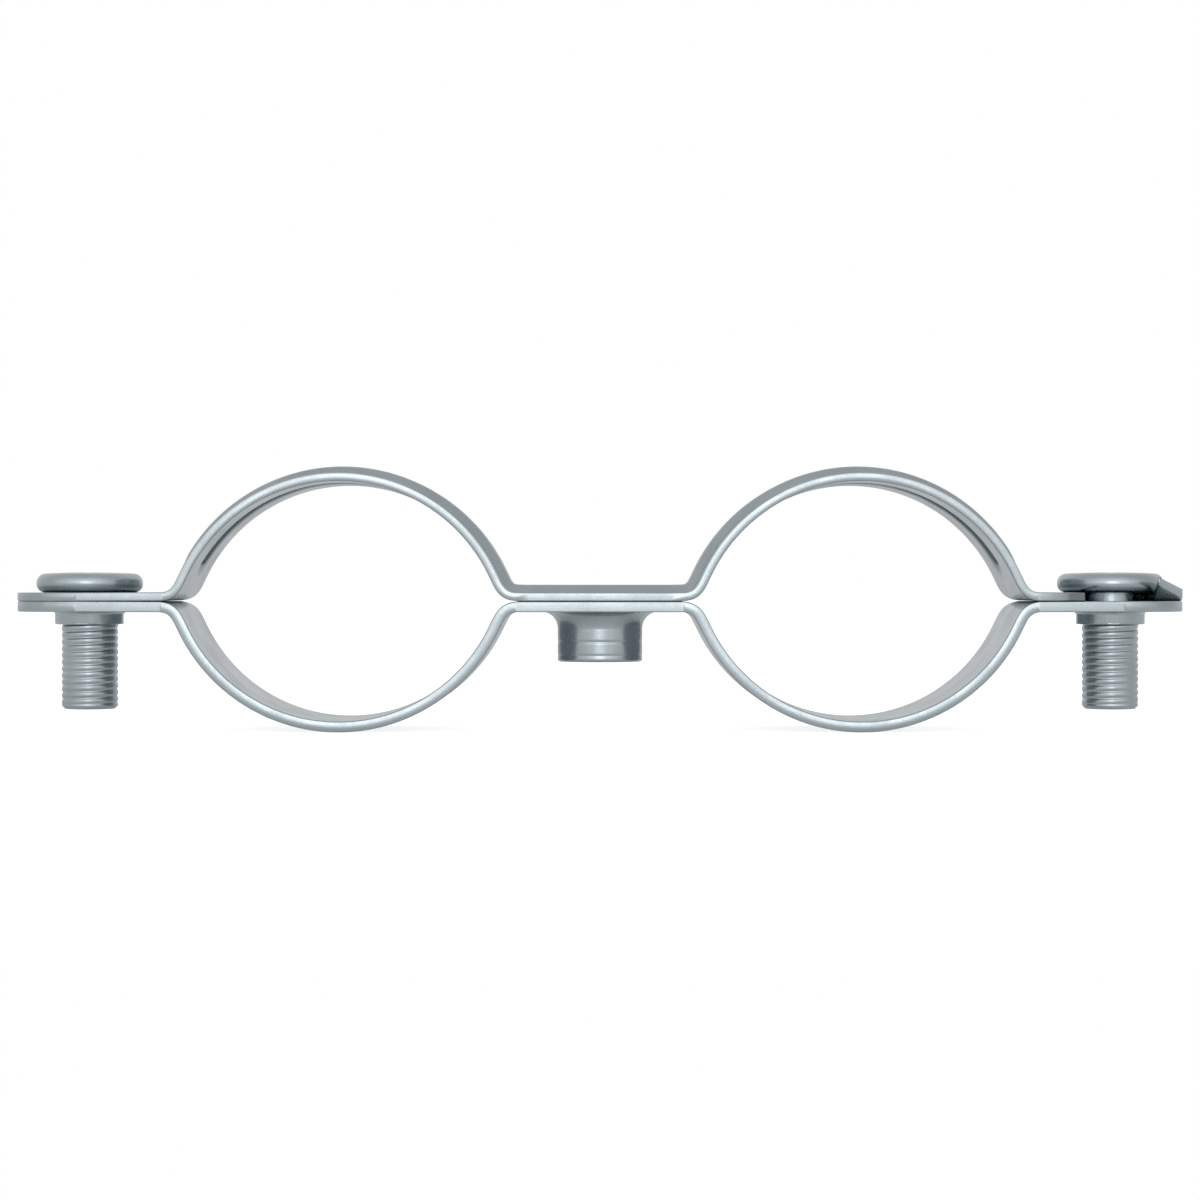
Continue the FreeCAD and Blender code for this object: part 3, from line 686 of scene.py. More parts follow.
# %% Upper blank
PIVOT_HOLE = 2.68 * MM
ROW_STEP = 0.22 * MM
BEAD_ROWS = [index * ROW_STEP for index in range(15)]
NOSE_TIP = math.sqrt(HALF_WIDTH**2 - HOOK_REACH**2)
NOSE_ROWS = 16
NOSE_CORNER = 6
PART_END_STEPS = 40
TO_BEND = HOOK_REACH * math.sin(NOSE_TURN) + NOSE_START * math.cos(NOSE_TURN)


def past_bend(x, y):
    """How far a place, measured from the screw, lies beyond the line of the bend."""
    return x * math.sin(NOSE_TURN) - y * math.cos(NOSE_TURN) - TO_BEND


def rim_way(past):
    """The way in radians to the round end's place that lies this far beyond the bend."""
    return NOSE_TURN - math.asin((past + TO_BEND) / HALF_WIDTH)


def hook_outline(screw_at):
    """The right ear's outline, and the walls of the nose as pairs of places in it."""
    left, right = screw_at - HOOK_REACH, screw_at + HOOK_REACH
    reach = past_bend(HOOK_REACH, -NOSE_TIP)
    rows = [reach * index / NOSE_ROWS for index in range(NOSE_ROWS)]
    wall = [(right, -NOSE_START - row / math.cos(NOSE_TURN), (-1.0, 0.0)) for row in rows]
    round_rim = []
    for row in rows[1 : NOSE_CORNER + 1]:
        lean = math.cos(rim_way(row)), math.sin(rim_way(row))
        round_rim.append((screw_at + HALF_WIDTH * lean[0], HALF_WIDTH * lean[1], lean))
    corner_x, corner_y, _ = round_rim[-1]
    run = math.dist((right, -NOSE_TIP), (corner_x, corner_y))
    lean = (corner_y + NOSE_TIP) / run, (right - corner_x) / run
    tip = [(right, -NOSE_TIP, (-1.0, (1.0 + lean[0]) / lean[1]))]
    straight_rim = []
    for index in range(NOSE_CORNER + 1, NOSE_ROWS):
        share = (index - NOSE_CORNER) / (NOSE_ROWS - NOSE_CORNER)
        x = corner_x + (right - corner_x) * share
        straight_rim.append((x, corner_y - (NOSE_TIP + corner_y) * share, lean))
    crown = (round_rim + straight_rim)[::-1]
    corner = [(left, -HALF_WIDTH, (1.0, -1.0))]
    seat = arc_spots(screw_at, HOOK_REACH, 180, 0, END_STEPS, out=-1)
    end = arc_spots(screw_at, HALF_WIDTH, math.degrees(rim_way(0.0)), 90, PART_END_STEPS)
    return corner + seat, wall, tip, crown, end


def bent_up(panels, screw_at):
    """Bends the nose up about a line that slants across its root."""
    arc = NOSE_BEND * math.sin(NOSE_ANGLE)

    def lifted(corner):
        x, y, z = corner
        past = past_bend(x - screw_at, y)
        if x < screw_at or past <= 0:
            return corner
        on_arc = min(past, arc)
        rise = NOSE_BEND - math.sqrt(NOSE_BEND**2 - on_arc**2)
        return x, y, z + rise + (past - on_arc) * math.tan(NOSE_ANGLE)

    return [
        ([lifted(corner) for corner in corners], spots, finish)
        for corners, spots, finish in panels
    ]


def hook_faces(rows, seam, parts, height):
    """The face of the hook in one panel, and the nose in rows that can bend."""
    mouth, wall, tip, crown, end = (inset(part) for part in parts)
    seam_side = [(seam, row) for row in reversed(rows)]
    panels = [level_panel(seam_side + mouth + wall[:1] + end, height)]
    far = [end[0]] + crown[::-1]
    for index in range(len(wall) - 1):
        loop = [wall[index], wall[index + 1], far[index + 1], far[index]]
        panels.append(level_panel(loop, height))
    panels.append(level_panel([wall[-1], tip[0], far[-1]], height))
    return panels


def upper_blank():
    sheet, marks = UPPER_SHEET, upper_marks
    seam, screw_at = marks[6], marks[7] - HALF_WIDTH
    # As the lower blank's, after the flat, and finer where the bead comes down to its end.
    steps = [1.5 * MM, 0.2 * MM, 0.25 * MM, 0.35 * MM, 0.2 * MM, 0.2 * MM]
    stations = both_ways(spread(marks[:7], steps))
    rows = [-FACE_EDGE] + both_ways(BEAD_ROWS) + [FACE_EDGE]
    end = arc_spots(screw_at, HALF_WIDTH, -90, 90, END_STEPS)
    parts = hook_outline(screw_at)
    hook = [spot for part in parts for spot in part]
    outline = straight_rim(stations, -1) + hook + straight_rim(stations, 1) + flipped(end)
    panels = rim_panels(outline, sheet)
    panels += grid_panels(stations, rows, (0.0, sheet))
    for height in (0.0, sheet):
        panels += hook_faces(rows, seam, parts, height)
        ear = ear_with_hole(end, rows, seam, screw_at, PIVOT_HOLE + EDGE_ROUND, height)
        panels += at_left(ear)
    hole = arc_spots(-screw_at, PIVOT_HOLE, 0, 360, AROUND, out=-1)[:-1]
    panels += rim_panels(hole, sheet)
    return weld("upper blank", bent_up(panels, screw_at))


blank_of_upper = upper_blank()
print("upper blank:", len(blank_of_upper.polygons), "faces")

# %% [markdown]
# ## The press
#
# One geometry tree bends both blanks. It looks up where a point's length along the strip
# falls on the path, steps out from the path by the point's height in the sheet, and adds
# the bead on the way: a long rib, pressed outwards, with round ends. The rib is a little
# narrower on the inside than on the outside, as pressing a sheet makes it. The path is a
# curve object, and Sample Curve reads its place and its direction at any length.

# %% Tree that presses the bead and bends the strip
BEAD_OUTER_HALF = 2.2 * MM
BEAD_INNER_HALF = 1.5 * MM
BEAD_SLOPE = 0.9 * MM


def press_tree():
    tree, given, result = open_group(
        "press and bend", "GeometryNodeTree",
        [
            ("Geometry", "NodeSocketGeometry", None),
            ("Path", "NodeSocketObject", None),
            ("Path Middle", "NodeSocketFloat", 0.0),
            ("Side", "NodeSocketFloat", 1.0),
            ("Sheet", "NodeSocketFloat", UPPER_SHEET),
            ("Bead Height", "NodeSocketFloat", 0.0),
            ("Bead Outer Half", "NodeSocketFloat", BEAD_OUTER_HALF),
            ("Bead Inner Half", "NodeSocketFloat", BEAD_INNER_HALF),
            ("Bead Slope", "NodeSocketFloat", BEAD_SLOPE),
            ("Bead End", "NodeSocketFloat", 1.0),
            ("Face Material", "NodeSocketMaterial", None),
            ("Edge Material", "NodeSocketMaterial", None),
        ],
        [("Geometry", "NodeSocketGeometry")],
    )
    place = put(tree, "GeometryNodeInputPosition").outputs[0]
    x, y, z = put(tree, "ShaderNodeSeparateXYZ", {"Vector": place}).outputs
    source = put(
        tree, "GeometryNodeObjectInfo", {"Object": given["Path"]}, transform_space="ORIGINAL"
    )
    from_end = calc(tree, "ADD", x, given["Path Middle"])
    sample = put(
        tree, "GeometryNodeSampleCurve",
        {"Curves": source.outputs["Geometry"], "Length": from_end},
        mode="LENGTH",
    ).outputs
    along_x, _, along_z = put(
        tree, "ShaderNodeSeparateXYZ", {"Vector": sample["Tangent"]}
    ).outputs

    from_middle = calc(tree, "ABSOLUTE", x)
    past = calc(tree, "MAXIMUM", calc(tree, "SUBTRACT", from_middle, given["Bead End"]), 0.0)
    across = calc(tree, "MULTIPLY", y, y)
    squares = calc(tree, "ADD", across, calc(tree, "MULTIPLY", past, past))
    off_axis = calc(tree, "SQRT", squares)
    share = calc(tree, "DIVIDE", z, given["Sheet"], clamp=True)
    half = put(
        tree, "ShaderNodeMapRange",
        {"Value": share, "To Min": given["Bead Inner Half"], "To Max": given["Bead Outer Half"]},
    ).outputs["Result"]
    half_slope = calc(tree, "MULTIPLY", given["Bead Slope"], 0.5)
    crown_ends = calc(tree, "SUBTRACT", half, half_slope)
    slope_ends = calc(tree, "ADD", half, half_slope)
    rib = soft_step(tree, off_axis, crown_ends, slope_ends, given["Bead Height"], 0.0)

    out = calc(tree, "MULTIPLY", calc(tree, "ADD", z, rib), given["Side"])
    step = put(
        tree, "ShaderNodeCombineXYZ",
        {
            "X": calc(tree, "MULTIPLY", calc(tree, "MULTIPLY", along_z, -1.0), out),
            "Y": y,
            "Z": calc(tree, "MULTIPLY", along_x, out),
        },
    ).outputs[0]
    bent = put(
        tree, "ShaderNodeVectorMath", {0: sample["Position"], 1: step}, operation="ADD"
    ).outputs[0]
    moved = put(
        tree, "GeometryNodeSetPosition", {"Geometry": given["Geometry"], "Position": bent}
    ).outputs[0]
    real = put(tree, "GeometryNodeRealizeInstances", {"Geometry": moved}).outputs[0]
    mark = put(tree, "GeometryNodeInputNamedAttribute", {"Name": "cut"}, data_type="FLOAT")
    is_edge = calc(tree, "GREATER_THAN", mark.outputs["Attribute"], 0.5)
    faced = put(
        tree, "GeometryNodeSetMaterial", {"Geometry": real, "Material": given["Face Material"]}
    ).outputs[0]
    edged = put(
        tree, "GeometryNodeSetMaterial",
        {"Geometry": faced, "Selection": is_edge, "Material": given["Edge Material"]},
    ).outputs[0]
    tree.links.new(edged, result["Geometry"])
    return tree


PRESS = press_tree()
print("geometry tree:", PRESS.name)

# %% [markdown]
# A mesh needs an object to hold it before a tree can work on it, through a modifier. The
# modifier's inputs are set by each socket's own identifier before the object is looked at,
# and the result is kept as a plain mesh. Plain meshes can be joined.

# %% Running a tree and keeping its result as a plain mesh
FINISHES = [ROLLED, CUT, TURNED]
room = bpy.context.scene.collection


def hold(name, data):
    """Puts an object in the room that holds this mesh, curve, lamp or camera."""
    holder = bpy.data.objects.new(name, data)
    room.objects.link(holder)
    return holder


def set_inputs(modifier, values):
    """Fills a modifier's inputs by their names, through each socket's identifier."""
    for item in modifier.node_group.interface.items_tree:
        if item.item_type == "SOCKET" and item.in_out == "INPUT" and item.name in values:
            modifier[item.identifier] = values[item.name]


def plain_mesh(holder):
    """The holder's mesh after its modifiers, with finishes in one order. The holder goes."""
    view = bpy.context.evaluated_depsgraph_get()
    mesh = bpy.data.meshes.new_from_object(
        holder.evaluated_get(view), preserve_all_data_layers=True, depsgraph=view
    )
    places = [FINISHES.index(material) if material else 0 for material in mesh.materials]
    for face in mesh.polygons:
        face.material_index = places[face.material_index]
    mesh.materials.clear()
    for material in FINISHES:
        mesh.materials.append(material)
    bpy.data.objects.remove(holder)
    return mesh


def run_tree(tree, mesh, values):
    holder = hold("holder", mesh)
    modifier = holder.modifiers.new("tree", "NODES")
    modifier.node_group = tree
    set_inputs(modifier, values)
    return plain_mesh(holder)


# %% [markdown]
# Both blanks go through the same press. The lower strap is bent downwards and gets no
# bead. The upper one is bent upwards, and its bead runs from one outer flank to the other.


# %% Bending the two blanks
def path_curve(points, side):
    """The path of a whole strap, left end to right end, at its height in the frame."""
    whole = [(-x, z) for x, z in reversed(points[1:])] + points
    curve = bpy.data.curves.new("strap path", "CURVE")
    curve.dimensions = "3D"
    spline = curve.splines.new("POLY")
    spline.points.add(len(whole) - 1)
    for spot, (x, z) in zip(spline.points, whole):
        spot.co = (x, 0.0, PARTING + side * z, 1.0)
    return hold("strap path", curve)


def press(blank, points, marks, side, sheet, bead):
    path = path_curve(points, side)
    values = {
        "Path": path, "Path Middle": marks[-1], "Side": float(side), "Sheet": sheet,
        "Face Material": ROLLED, "Edge Material": CUT, **bead,
    }
    mesh = run_tree(PRESS, blank, values)
    bpy.data.objects.remove(path)
    return mesh


BEAD_STOP = 4.0 * MM


def bead_end(points, marks):
    """Where the centre of the bead's round end lies: on the outer flank, above the ear."""
    run = marks[-1]
    for (x0, z0), (x1, z1) in zip(reversed(points), list(reversed(points))[1:]):
        if z1 > BEAD_STOP:
            return run
        run -= math.hypot(x1 - x0, z1 - z0)
    return run


bead = {"Bead Height": BEAD_HEIGHT, "Bead End": bead_end(upper_points, upper_marks)}
pressed_lower = press(blank_of_lower, lower_points, lower_marks, -1, LOWER_SHEET, {})
pressed_upper = press(blank_of_upper, upper_points, upper_marks, 1, UPPER_SHEET, bead)
print("pressed:", len(pressed_lower.polygons), "and", len(pressed_upper.polygons), "faces")

# %% [markdown]
# ## Turned and drawn parts
#
# The boss, the collars and the screws are round. Each is a profile of radius and height,
# turned about an upright axis in the same number of steps as the holes in the blanks, so
# that their rims meet point for point.

# %% Turning a profile
DENT_WAVES = ((0.6, 7, 0.8), (0.4, 11, 0.0))  # size, number in a turn, shift
DENT_MEAN = 0.6
NEAR_WALL = EDGE_ROUND / 10


def turned(profile, centre, dents=0.0, wall=0.0):
    """Turns a profile. dents is how far its points at the wall's radius go in and out."""
    circle = ring(0.0, 1.0, 0, 360)

    def spot(lean, radius, height):
        if dents and abs(radius - wall) < NEAR_WALL:
            way = math.atan2(lean[1], lean[0])
            waves = sum(size * math.sin(count * way + shift) for size, count, shift in DENT_WAVES)
            radius -= dents * (DENT_MEAN + waves)
        return centre + radius * lean[0], radius * lean[1], height

    runs = [0.0]
    for here, there in zip(profile, profile[1:]):
        runs.append(runs[-1] + math.dist(here, there))
    panels = []
    for place, (here, there) in enumerate(zip(circle, circle[1:])):
        for step in range(len(profile) - 1):
            (low_r, low_z), (high_r, high_z) = profile[step], profile[step + 1]
            corners = [
                spot(here, low_r, low_z), spot(there, low_r, low_z),
                spot(there, high_r, high_z), spot(here, high_r, high_z),
            ]
            laps = [2 * math.pi * BOSS_OUTER * index / AROUND for index in (place, place + 1)]
            panels.append((corners, square(*laps, runs[step], runs[step + 1]), SHEET_FACE))
    return panels


def finished(name, panels, material):
    mesh = weld(name, panels)
    mesh.materials.append(material)
    return plain_mesh(hold("holder", mesh))


# %% [markdown]
# The boss and the two collars are drawn out of the lower sheet. Each is a tube that leaves
# the sheet in a round root. The draw leaves faint rings round the boss, so they are part of
# its profile. The collars are short and a little uneven, as a quick draw leaves them, so
# their walls go in and out by a few hundredths of a millimetre.

# %% Collars and boss
UNDER_SIDE = PARTING - LOWER_SHEET
COLLAR_FOOT = UNDER_SIDE - 1.2 * MM
COLLAR_SOFT = 0.15 * MM
COLLAR_DENTS = 0.06 * MM
BOSS_RIM = 0.25 * MM
BOSS_MOUTH = 0.4 * MM
BOSS_THREAD_TOP = PARTING - 1.2 * MM
BOSS_THREAD_FOOT = 0.5 * MM
DRAW_STEPS = 60
DRAW_RING_STEP = 1.3 * MM
DRAW_RING_DEPTH = 0.035 * MM
DRAW_RING_SHARP = 5
DRAW_FADES = 6  # a ring is fainter within a sixth of the tube's length from an end


def drawn_rings(top, foot, radius):
    """The outside of a drawn tube, from top to foot, with faint rings."""
    points = []
    for index in range(DRAW_STEPS + 1):
        height = top + (foot - top) * index / DRAW_STEPS
        wave = math.sin(2 * math.pi * (height - foot) / DRAW_RING_STEP)
        line = max(0.0, wave) ** DRAW_RING_SHARP
        fade = min(1.0, DRAW_FADES * min(index, DRAW_STEPS - index) / DRAW_STEPS)
        points.append((radius - DRAW_RING_DEPTH * fade * line, height))
    return points


def collar_profile():
    root = arc_points(COLLAR_OUTER + COLLAR_ROOT, UNDER_SIDE - COLLAR_ROOT, COLLAR_ROOT, 90, 180)
    soft, low = COLLAR_SOFT, COLLAR_FOOT + COLLAR_SOFT
    foot = arc_points(COLLAR_OUTER - soft, low, soft, 0, -90, 4)
    inner = arc_points(COLLAR_BORE + soft, low, soft, -90, -180, 4)
    entry = arc_points(COLLAR_BORE + COLLAR_ENTRY, PARTING - COLLAR_ENTRY, COLLAR_ENTRY, 180, 90)
    return root + foot + inner + entry


def boss_outside():
    root = arc_points(BOSS_OUTER + BOSS_ROOT, UNDER_SIDE - BOSS_ROOT, BOSS_ROOT, 90, 180, 16)
    wall = drawn_rings(UNDER_SIDE - BOSS_ROOT, BOSS_RIM, BOSS_OUTER)
    rim = arc_points(BOSS_OUTER - BOSS_RIM, BOSS_RIM, BOSS_RIM, 0, -90)
    mouth = [(BOSS_BORE + BOSS_MOUTH, 0.0), (BOSS_BORE, BOSS_MOUTH), (BOSS_BORE, BOSS_THREAD_FOOT)]
    return root + wall[1:] + rim[1:] + mouth


def boss_inside():
    entry = arc_points(BOSS_BORE + BOSS_ENTRY, PARTING - BOSS_ENTRY, BOSS_ENTRY, 180, 90, 8)
    return [(BOSS_BORE, BOSS_THREAD_TOP)] + entry


collar = collar_profile()
collars = []
for place in (-SCREW_X, SCREW_X):
    collars += turned(collar, place, COLLAR_DENTS, COLLAR_OUTER)
boss = turned(boss_outside(), 0.0) + turned(boss_inside(), 0.0)
print("drawn parts:", len(collars), "panels for the collars and", len(boss), "for the boss")

# %% [markdown]
# ## Threads
#
# One tree cuts every thread. It rolls a grid into a tube and lets the radius rise and fall
# with the height and the turn together, which makes a right-hand helix. At both ends the
# groove fades out, so the tube starts and ends in plain circles that join their
# neighbours. A negative depth cuts outwards, for the thread inside the boss.

# %% Tree that cuts a thread
CREST_ENDS, ROOT_STARTS = 0.3, 0.95  # shares of the way from a crest to the root


def thread_tree():
    tree, given, result = open_group(
        "thread", "GeometryNodeTree",
        [
            ("Geometry", "NodeSocketGeometry", None),
            ("Radius", "NodeSocketFloat", 2.5 * MM),
            ("Depth", "NodeSocketFloat", 0.2 * MM),
            ("Pitch", "NodeSocketFloat", 0.8 * MM),
            ("Foot", "NodeSocketFloat", 0.0),
            ("Length", "NodeSocketFloat", 5.0 * MM),
            ("Fade", "NodeSocketFloat", 0.4 * MM),
            ("Steps Around", "NodeSocketInt", AROUND),
            ("Steps Along", "NodeSocketInt", 60),
            ("Material", "NodeSocketMaterial", None),
        ],
        [("Geometry", "NodeSocketGeometry")],
    )
    grid = put(
        tree, "GeometryNodeMeshGrid",
        {
            "Size X": 1.0, "Size Y": 1.0,
            "Vertices X": calc(tree, "ADD", given["Steps Around"], 1.0),
            "Vertices Y": calc(tree, "ADD", given["Steps Along"], 1.0),
        },
    ).outputs["Mesh"]
    place = put(tree, "GeometryNodeInputPosition").outputs[0]
    x, y, _ = put(tree, "ShaderNodeSeparateXYZ", {"Vector": place}).outputs
    turn = calc(tree, "ADD", x, 0.5)
    share = calc(tree, "ADD", y, 0.5)
    above_foot = calc(tree, "MULTIPLY", share, given["Length"])
    below_top = calc(tree, "SUBTRACT", given["Length"], above_foot)

    turns_up = calc(tree, "DIVIDE", above_foot, given["Pitch"])
    phase = calc(tree, "FRACT", calc(tree, "SUBTRACT", turns_up, turn))
    from_crest = calc(tree, "PINGPONG", calc(tree, "MULTIPLY", phase, 2.0), 1.0)
    groove = soft_step(tree, from_crest, CREST_ENDS, ROOT_STARTS)
    to_end = calc(tree, "MINIMUM", above_foot, below_top)
    fade = soft_step(tree, to_end, 0.0, given["Fade"])
    cut = calc(tree, "MULTIPLY", calc(tree, "MULTIPLY", groove, fade), given["Depth"])
    radius = calc(tree, "SUBTRACT", given["Radius"], cut)

    way = calc(tree, "MULTIPLY", turn, 2 * math.pi)
    rolled = put(
        tree, "ShaderNodeCombineXYZ",
        {
            "X": calc(tree, "MULTIPLY", radius, calc(tree, "COSINE", way)),
            "Y": calc(tree, "MULTIPLY", radius, calc(tree, "SINE", way)),
            "Z": calc(tree, "ADD", above_foot, given["Foot"]),
        },
    ).outputs[0]
    tube = put(
        tree, "GeometryNodeSetPosition", {"Geometry": grid, "Position": rolled}
    ).outputs[0]
    closed = put(
        tree, "GeometryNodeMergeByDistance", {"Geometry": tube, "Distance": SAME_SPOT / 2}
    ).outputs[0]
    smooth = put(tree, "GeometryNodeSetShadeSmooth", {"Geometry": closed}).outputs[0]
    real = put(tree, "GeometryNodeRealizeInstances", {"Geometry": smooth}).outputs[0]
    done = put(
        tree, "GeometryNodeSetMaterial", {"Geometry": real, "Material": given["Material"]}
    ).outputs[0]
    tree.links.new(done, result["Geometry"])
    return tree


THREAD = thread_tree()
STEPS_TO_A_PITCH = 12


def thread(radius, depth, pitch, foot, top, material):
    steps = max(8, round((top - foot) / pitch * STEPS_TO_A_PITCH))
    values = {
        "Radius": radius, "Depth": depth, "Pitch": pitch, "Foot": foot,
        "Length": top - foot, "Steps Along": steps, "Material": material,
    }
    return run_tree(THREAD, bpy.data.meshes.new("thread"), values)


print("geometry tree:", THREAD.name)

# %% [markdown]
# The strap, its drawn parts and its thread are one piece of steel, so they become one skin.
# Their rims share the same points, and sewing them leaves no edge open. The number of open
# edges is printed, because an open edge shows that two rims have missed each other.

# %% Sewing parts into one skin
BOSS_THREAD_DEPTH = 0.4 * MM
BOSS_PITCH = 1.0 * MM


def sew(name, meshes, near=SAME_SPOT):
    """One closed skin from meshes that meet at shared rims, with its faces outwards."""
    work = bmesh.new()
    for mesh in meshes:
        work.from_mesh(mesh)
    bmesh.ops.remove_doubles(work, verts=work.verts, dist=near)
    bmesh.ops.recalc_face_normals(work, faces=work.faces)
    gaps = sum(not edge.is_manifold for edge in work.edges)
    mesh = bpy.data.meshes.new(name)
    work.to_mesh(mesh)
    work.free()
    for material in FINISHES:
        mesh.materials.append(material)
    print(f"{name}: {len(mesh.polygons)} faces, {gaps} open edges")
    return mesh


boss_thread = thread(
    BOSS_BORE, -BOSS_THREAD_DEPTH, BOSS_PITCH, BOSS_THREAD_FOOT, BOSS_THREAD_TOP, TURNED
)
lower_parts = [pressed_lower, finished("drawn parts", collars + boss, TURNED), boss_thread]
lower_skin = sew("lower_strap_skin", lower_parts)
upper_skin = sew("upper_strap_skin", [pressed_upper])

# %% [markdown]
# ## The screws
#
# Each screw has a low domed head with a slot and a cross in it, a plain neck that sits in
# the upper strap, and a thread down to a short point. The recess is cut out of the head
# with three tapered bars, and its edges are rounded before the thread is joined on.

# %% Screw head
HEAD_CROWN = 0.15 * MM
HEAD_RIM = 0.9 * MM
HEAD_FOOT = 0.8 * MM
NECK_RADIUS = 2.5 * MM
SHANK_RADIUS = 2.63 * MM
NECK_FOOT = PARTING - 0.5 * MM
HEAD_TOP = HEAD_SEAT + HEAD_HEIGHT
SLOT_LENGTH = 6.8 * MM
SLOT_WIDTH = 1.2 * MM
SLOT_DEPTH = 0.8 * MM
CROSS_LENGTH = 4.6 * MM
CROSS_DEPTH = 1.4 * MM
BAR_LEAN = 0.94
BAR_OVER = 0.3 * MM
RECESS_ROUND = 0.06 * MM
RECESS_CORNER = math.radians(40)


def head_profile():
    """From the neck, out under the head, round its foot and rim and over its dome."""
    ball = (HEAD_RADIUS**2 + HEAD_CROWN**2) / (2 * HEAD_CROWN)
    reach = HEAD_RADIUS - HEAD_RIM
    above = math.sqrt((ball - HEAD_RIM) ** 2 - reach**2)
    lean = math.degrees(math.atan2(above, reach))
    middle = HEAD_TOP - ball
    under = [(0.0, HEAD_SEAT), (NECK_RADIUS, HEAD_SEAT)]
    foot = arc_points(HEAD_RADIUS - HEAD_FOOT, HEAD_SEAT + HEAD_FOOT, HEAD_FOOT, -90, 0, 8)
    rim = arc_points(reach, middle + above, HEAD_RIM, 0, lean, 14)
    dome = arc_points(0.0, middle, ball, lean, 90, 8)
    return under + foot + rim + dome[1:]


def bar(length, width, depth):
    """A closed bar with sides that lean in towards its floor."""
    corners = []
    for height, size in ((HEAD_TOP - depth, BAR_LEAN), (HEAD_TOP + BAR_OVER, 1.0)):
        x, y = length / 2 - width / 2 * (1 - size), width / 2 * size
        corners += [(-x, -y, height), (x, -y, height), (x, y, height), (-x, y, height)]
    mesh = bpy.data.meshes.new("bar")
    faces = [(3, 2, 1, 0), (4, 5, 6, 7)]
    faces += [(side, (side + 1) % 4, (side + 1) % 4 + 4, side + 4) for side in range(4)]
    mesh.from_pydata(corners, [], faces)
    return mesh


def cut_recess(head, bars):
    holder = hold("head", head)
    tools = [hold("bar", mesh) for mesh in bars]
    for tool in tools:
        cut = holder.modifiers.new("recess", "BOOLEAN")
        cut.operation = "DIFFERENCE"
        cut.solver = "EXACT"
        cut.object = tool
    edges = holder.modifiers.new("edges", "BEVEL")
    edges.width = RECESS_ROUND
    edges.segments = 2
    edges.limit_method = "ANGLE"
    edges.angle_limit = RECESS_CORNER
    edges.use_clamp_overlap = True
    mesh = plain_mesh(holder)
    for tool in tools:
        bpy.data.objects.remove(tool)
    return mesh


def without_lid(mesh, radius, height):
    """The head without the face that closed it where the neck begins."""
    work = bmesh.new()
    work.from_mesh(mesh)

    def on_lid(place):
        return abs(place.z - height) < SAME_SPOT / 2 and place.xy.length < radius + SAME_SPOT / 2

    lid = [face for face in work.faces if all(on_lid(spot.co) for spot in face.verts)]
    bmesh.ops.delete(work, geom=lid, context="FACES")
    work.to_mesh(mesh)
    work.free()
    return mesh


cross = bar(CROSS_LENGTH, SLOT_WIDTH, CROSS_DEPTH)
cross_over = cross.copy()
cross_over.transform(Matrix.Rotation(math.pi / 2, 4, "Z"))
bars = [bar(SLOT_LENGTH, SLOT_WIDTH, SLOT_DEPTH), cross, cross_over]
head = finished("head", turned(head_profile(), 0.0), TURNED)
head = without_lid(cut_recess(head, bars), NECK_RADIUS, HEAD_SEAT)
print("head:", len(head.polygons), "faces")

# %% [markdown]
# The neck is thinner than the thread, so that the hook can close round it. A narrow ring at
# each end of it keeps the large faces next to it from tilting its shading. The thread is
# shallow and fine, and the point has a short bevel.

# %% Shank, thread and the two screws
SHANK_CONE = 0.15 * MM
SHANK_TOP = NECK_FOOT - SHANK_CONE
SCREW_FOOT = HEAD_SEAT - SCREW_LENGTH
SCREW_POINT = 0.3 * MM
POINT_TOP = SCREW_FOOT + SCREW_POINT
SCREW_THREAD_DEPTH = 0.09 * MM
SCREW_PITCH = 0.63 * MM
NECK_SEAM = 0.04 * MM
neck = [(NECK_RADIUS, HEAD_SEAT), (NECK_RADIUS, HEAD_SEAT - NECK_SEAM)]
neck += [(NECK_RADIUS, NECK_FOOT + NECK_SEAM), (NECK_RADIUS, NECK_FOOT)]
neck += [(SHANK_RADIUS, SHANK_TOP)]
point = [(SHANK_RADIUS, POINT_TOP), (SHANK_RADIUS - SCREW_POINT, SCREW_FOOT), (0.0, SCREW_FOOT)]
plain_ends = finished("plain ends", turned(neck, 0.0) + turned(point, 0.0), TURNED)
screw_thread = thread(
    SHANK_RADIUS, SCREW_THREAD_DEPTH, SCREW_PITCH, POINT_TOP, SHANK_TOP, TURNED
)
screw_skin = sew("screw_skin", [head, plain_ends, screw_thread], 2 * SAME_SPOT)

# %% [markdown]
# ## The pieces
#
# Every skin gets normals that lean to its large faces, so that flat faces stay flat and
# only the rounded edges shade. Then it takes the place of its node, and rides on the body
# that carries it.

# %% Pieces in the frame
LARGE_FACE_WEIGHT = 60


def smooth_normals(mesh):
    holder = hold("holder", mesh)
    normals = holder.modifiers.new("normals", "WEIGHTED_NORMAL")
    normals.weight = LARGE_FACE_WEIGHT
    return plain_mesh(holder)


def place_piece(node, mesh):
    mesh.name = f"{node}_skin"
    piece = hold(f"{node}_piece", mesh)
    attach(piece, node)
    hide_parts(node)


screw_skin = smooth_normals(screw_skin)
screws = {"left_screw": screw_skin, "right_screw": screw_skin.copy()}
for side, (node, mesh) in zip((-1, 1), screws.items()):
    mesh.transform(Matrix.Translation((side * SCREW_X, 0.0, 0.0)))
    place_piece(node, mesh)
place_piece("lower_strap", smooth_normals(lower_skin))
place_piece("upper_strap", smooth_normals(upper_skin))

# %% [markdown]
# ## Floor, light and camera
#
# The strap lies on a pale floor in a white studio. The floor's white is only what the
# camera sees, and, more weakly, what the metal mirrors. Its light on the strap and the
# strap's shadow on it come from a plain grey. From below, the floor is clear, so that the
# underside can be looked at.

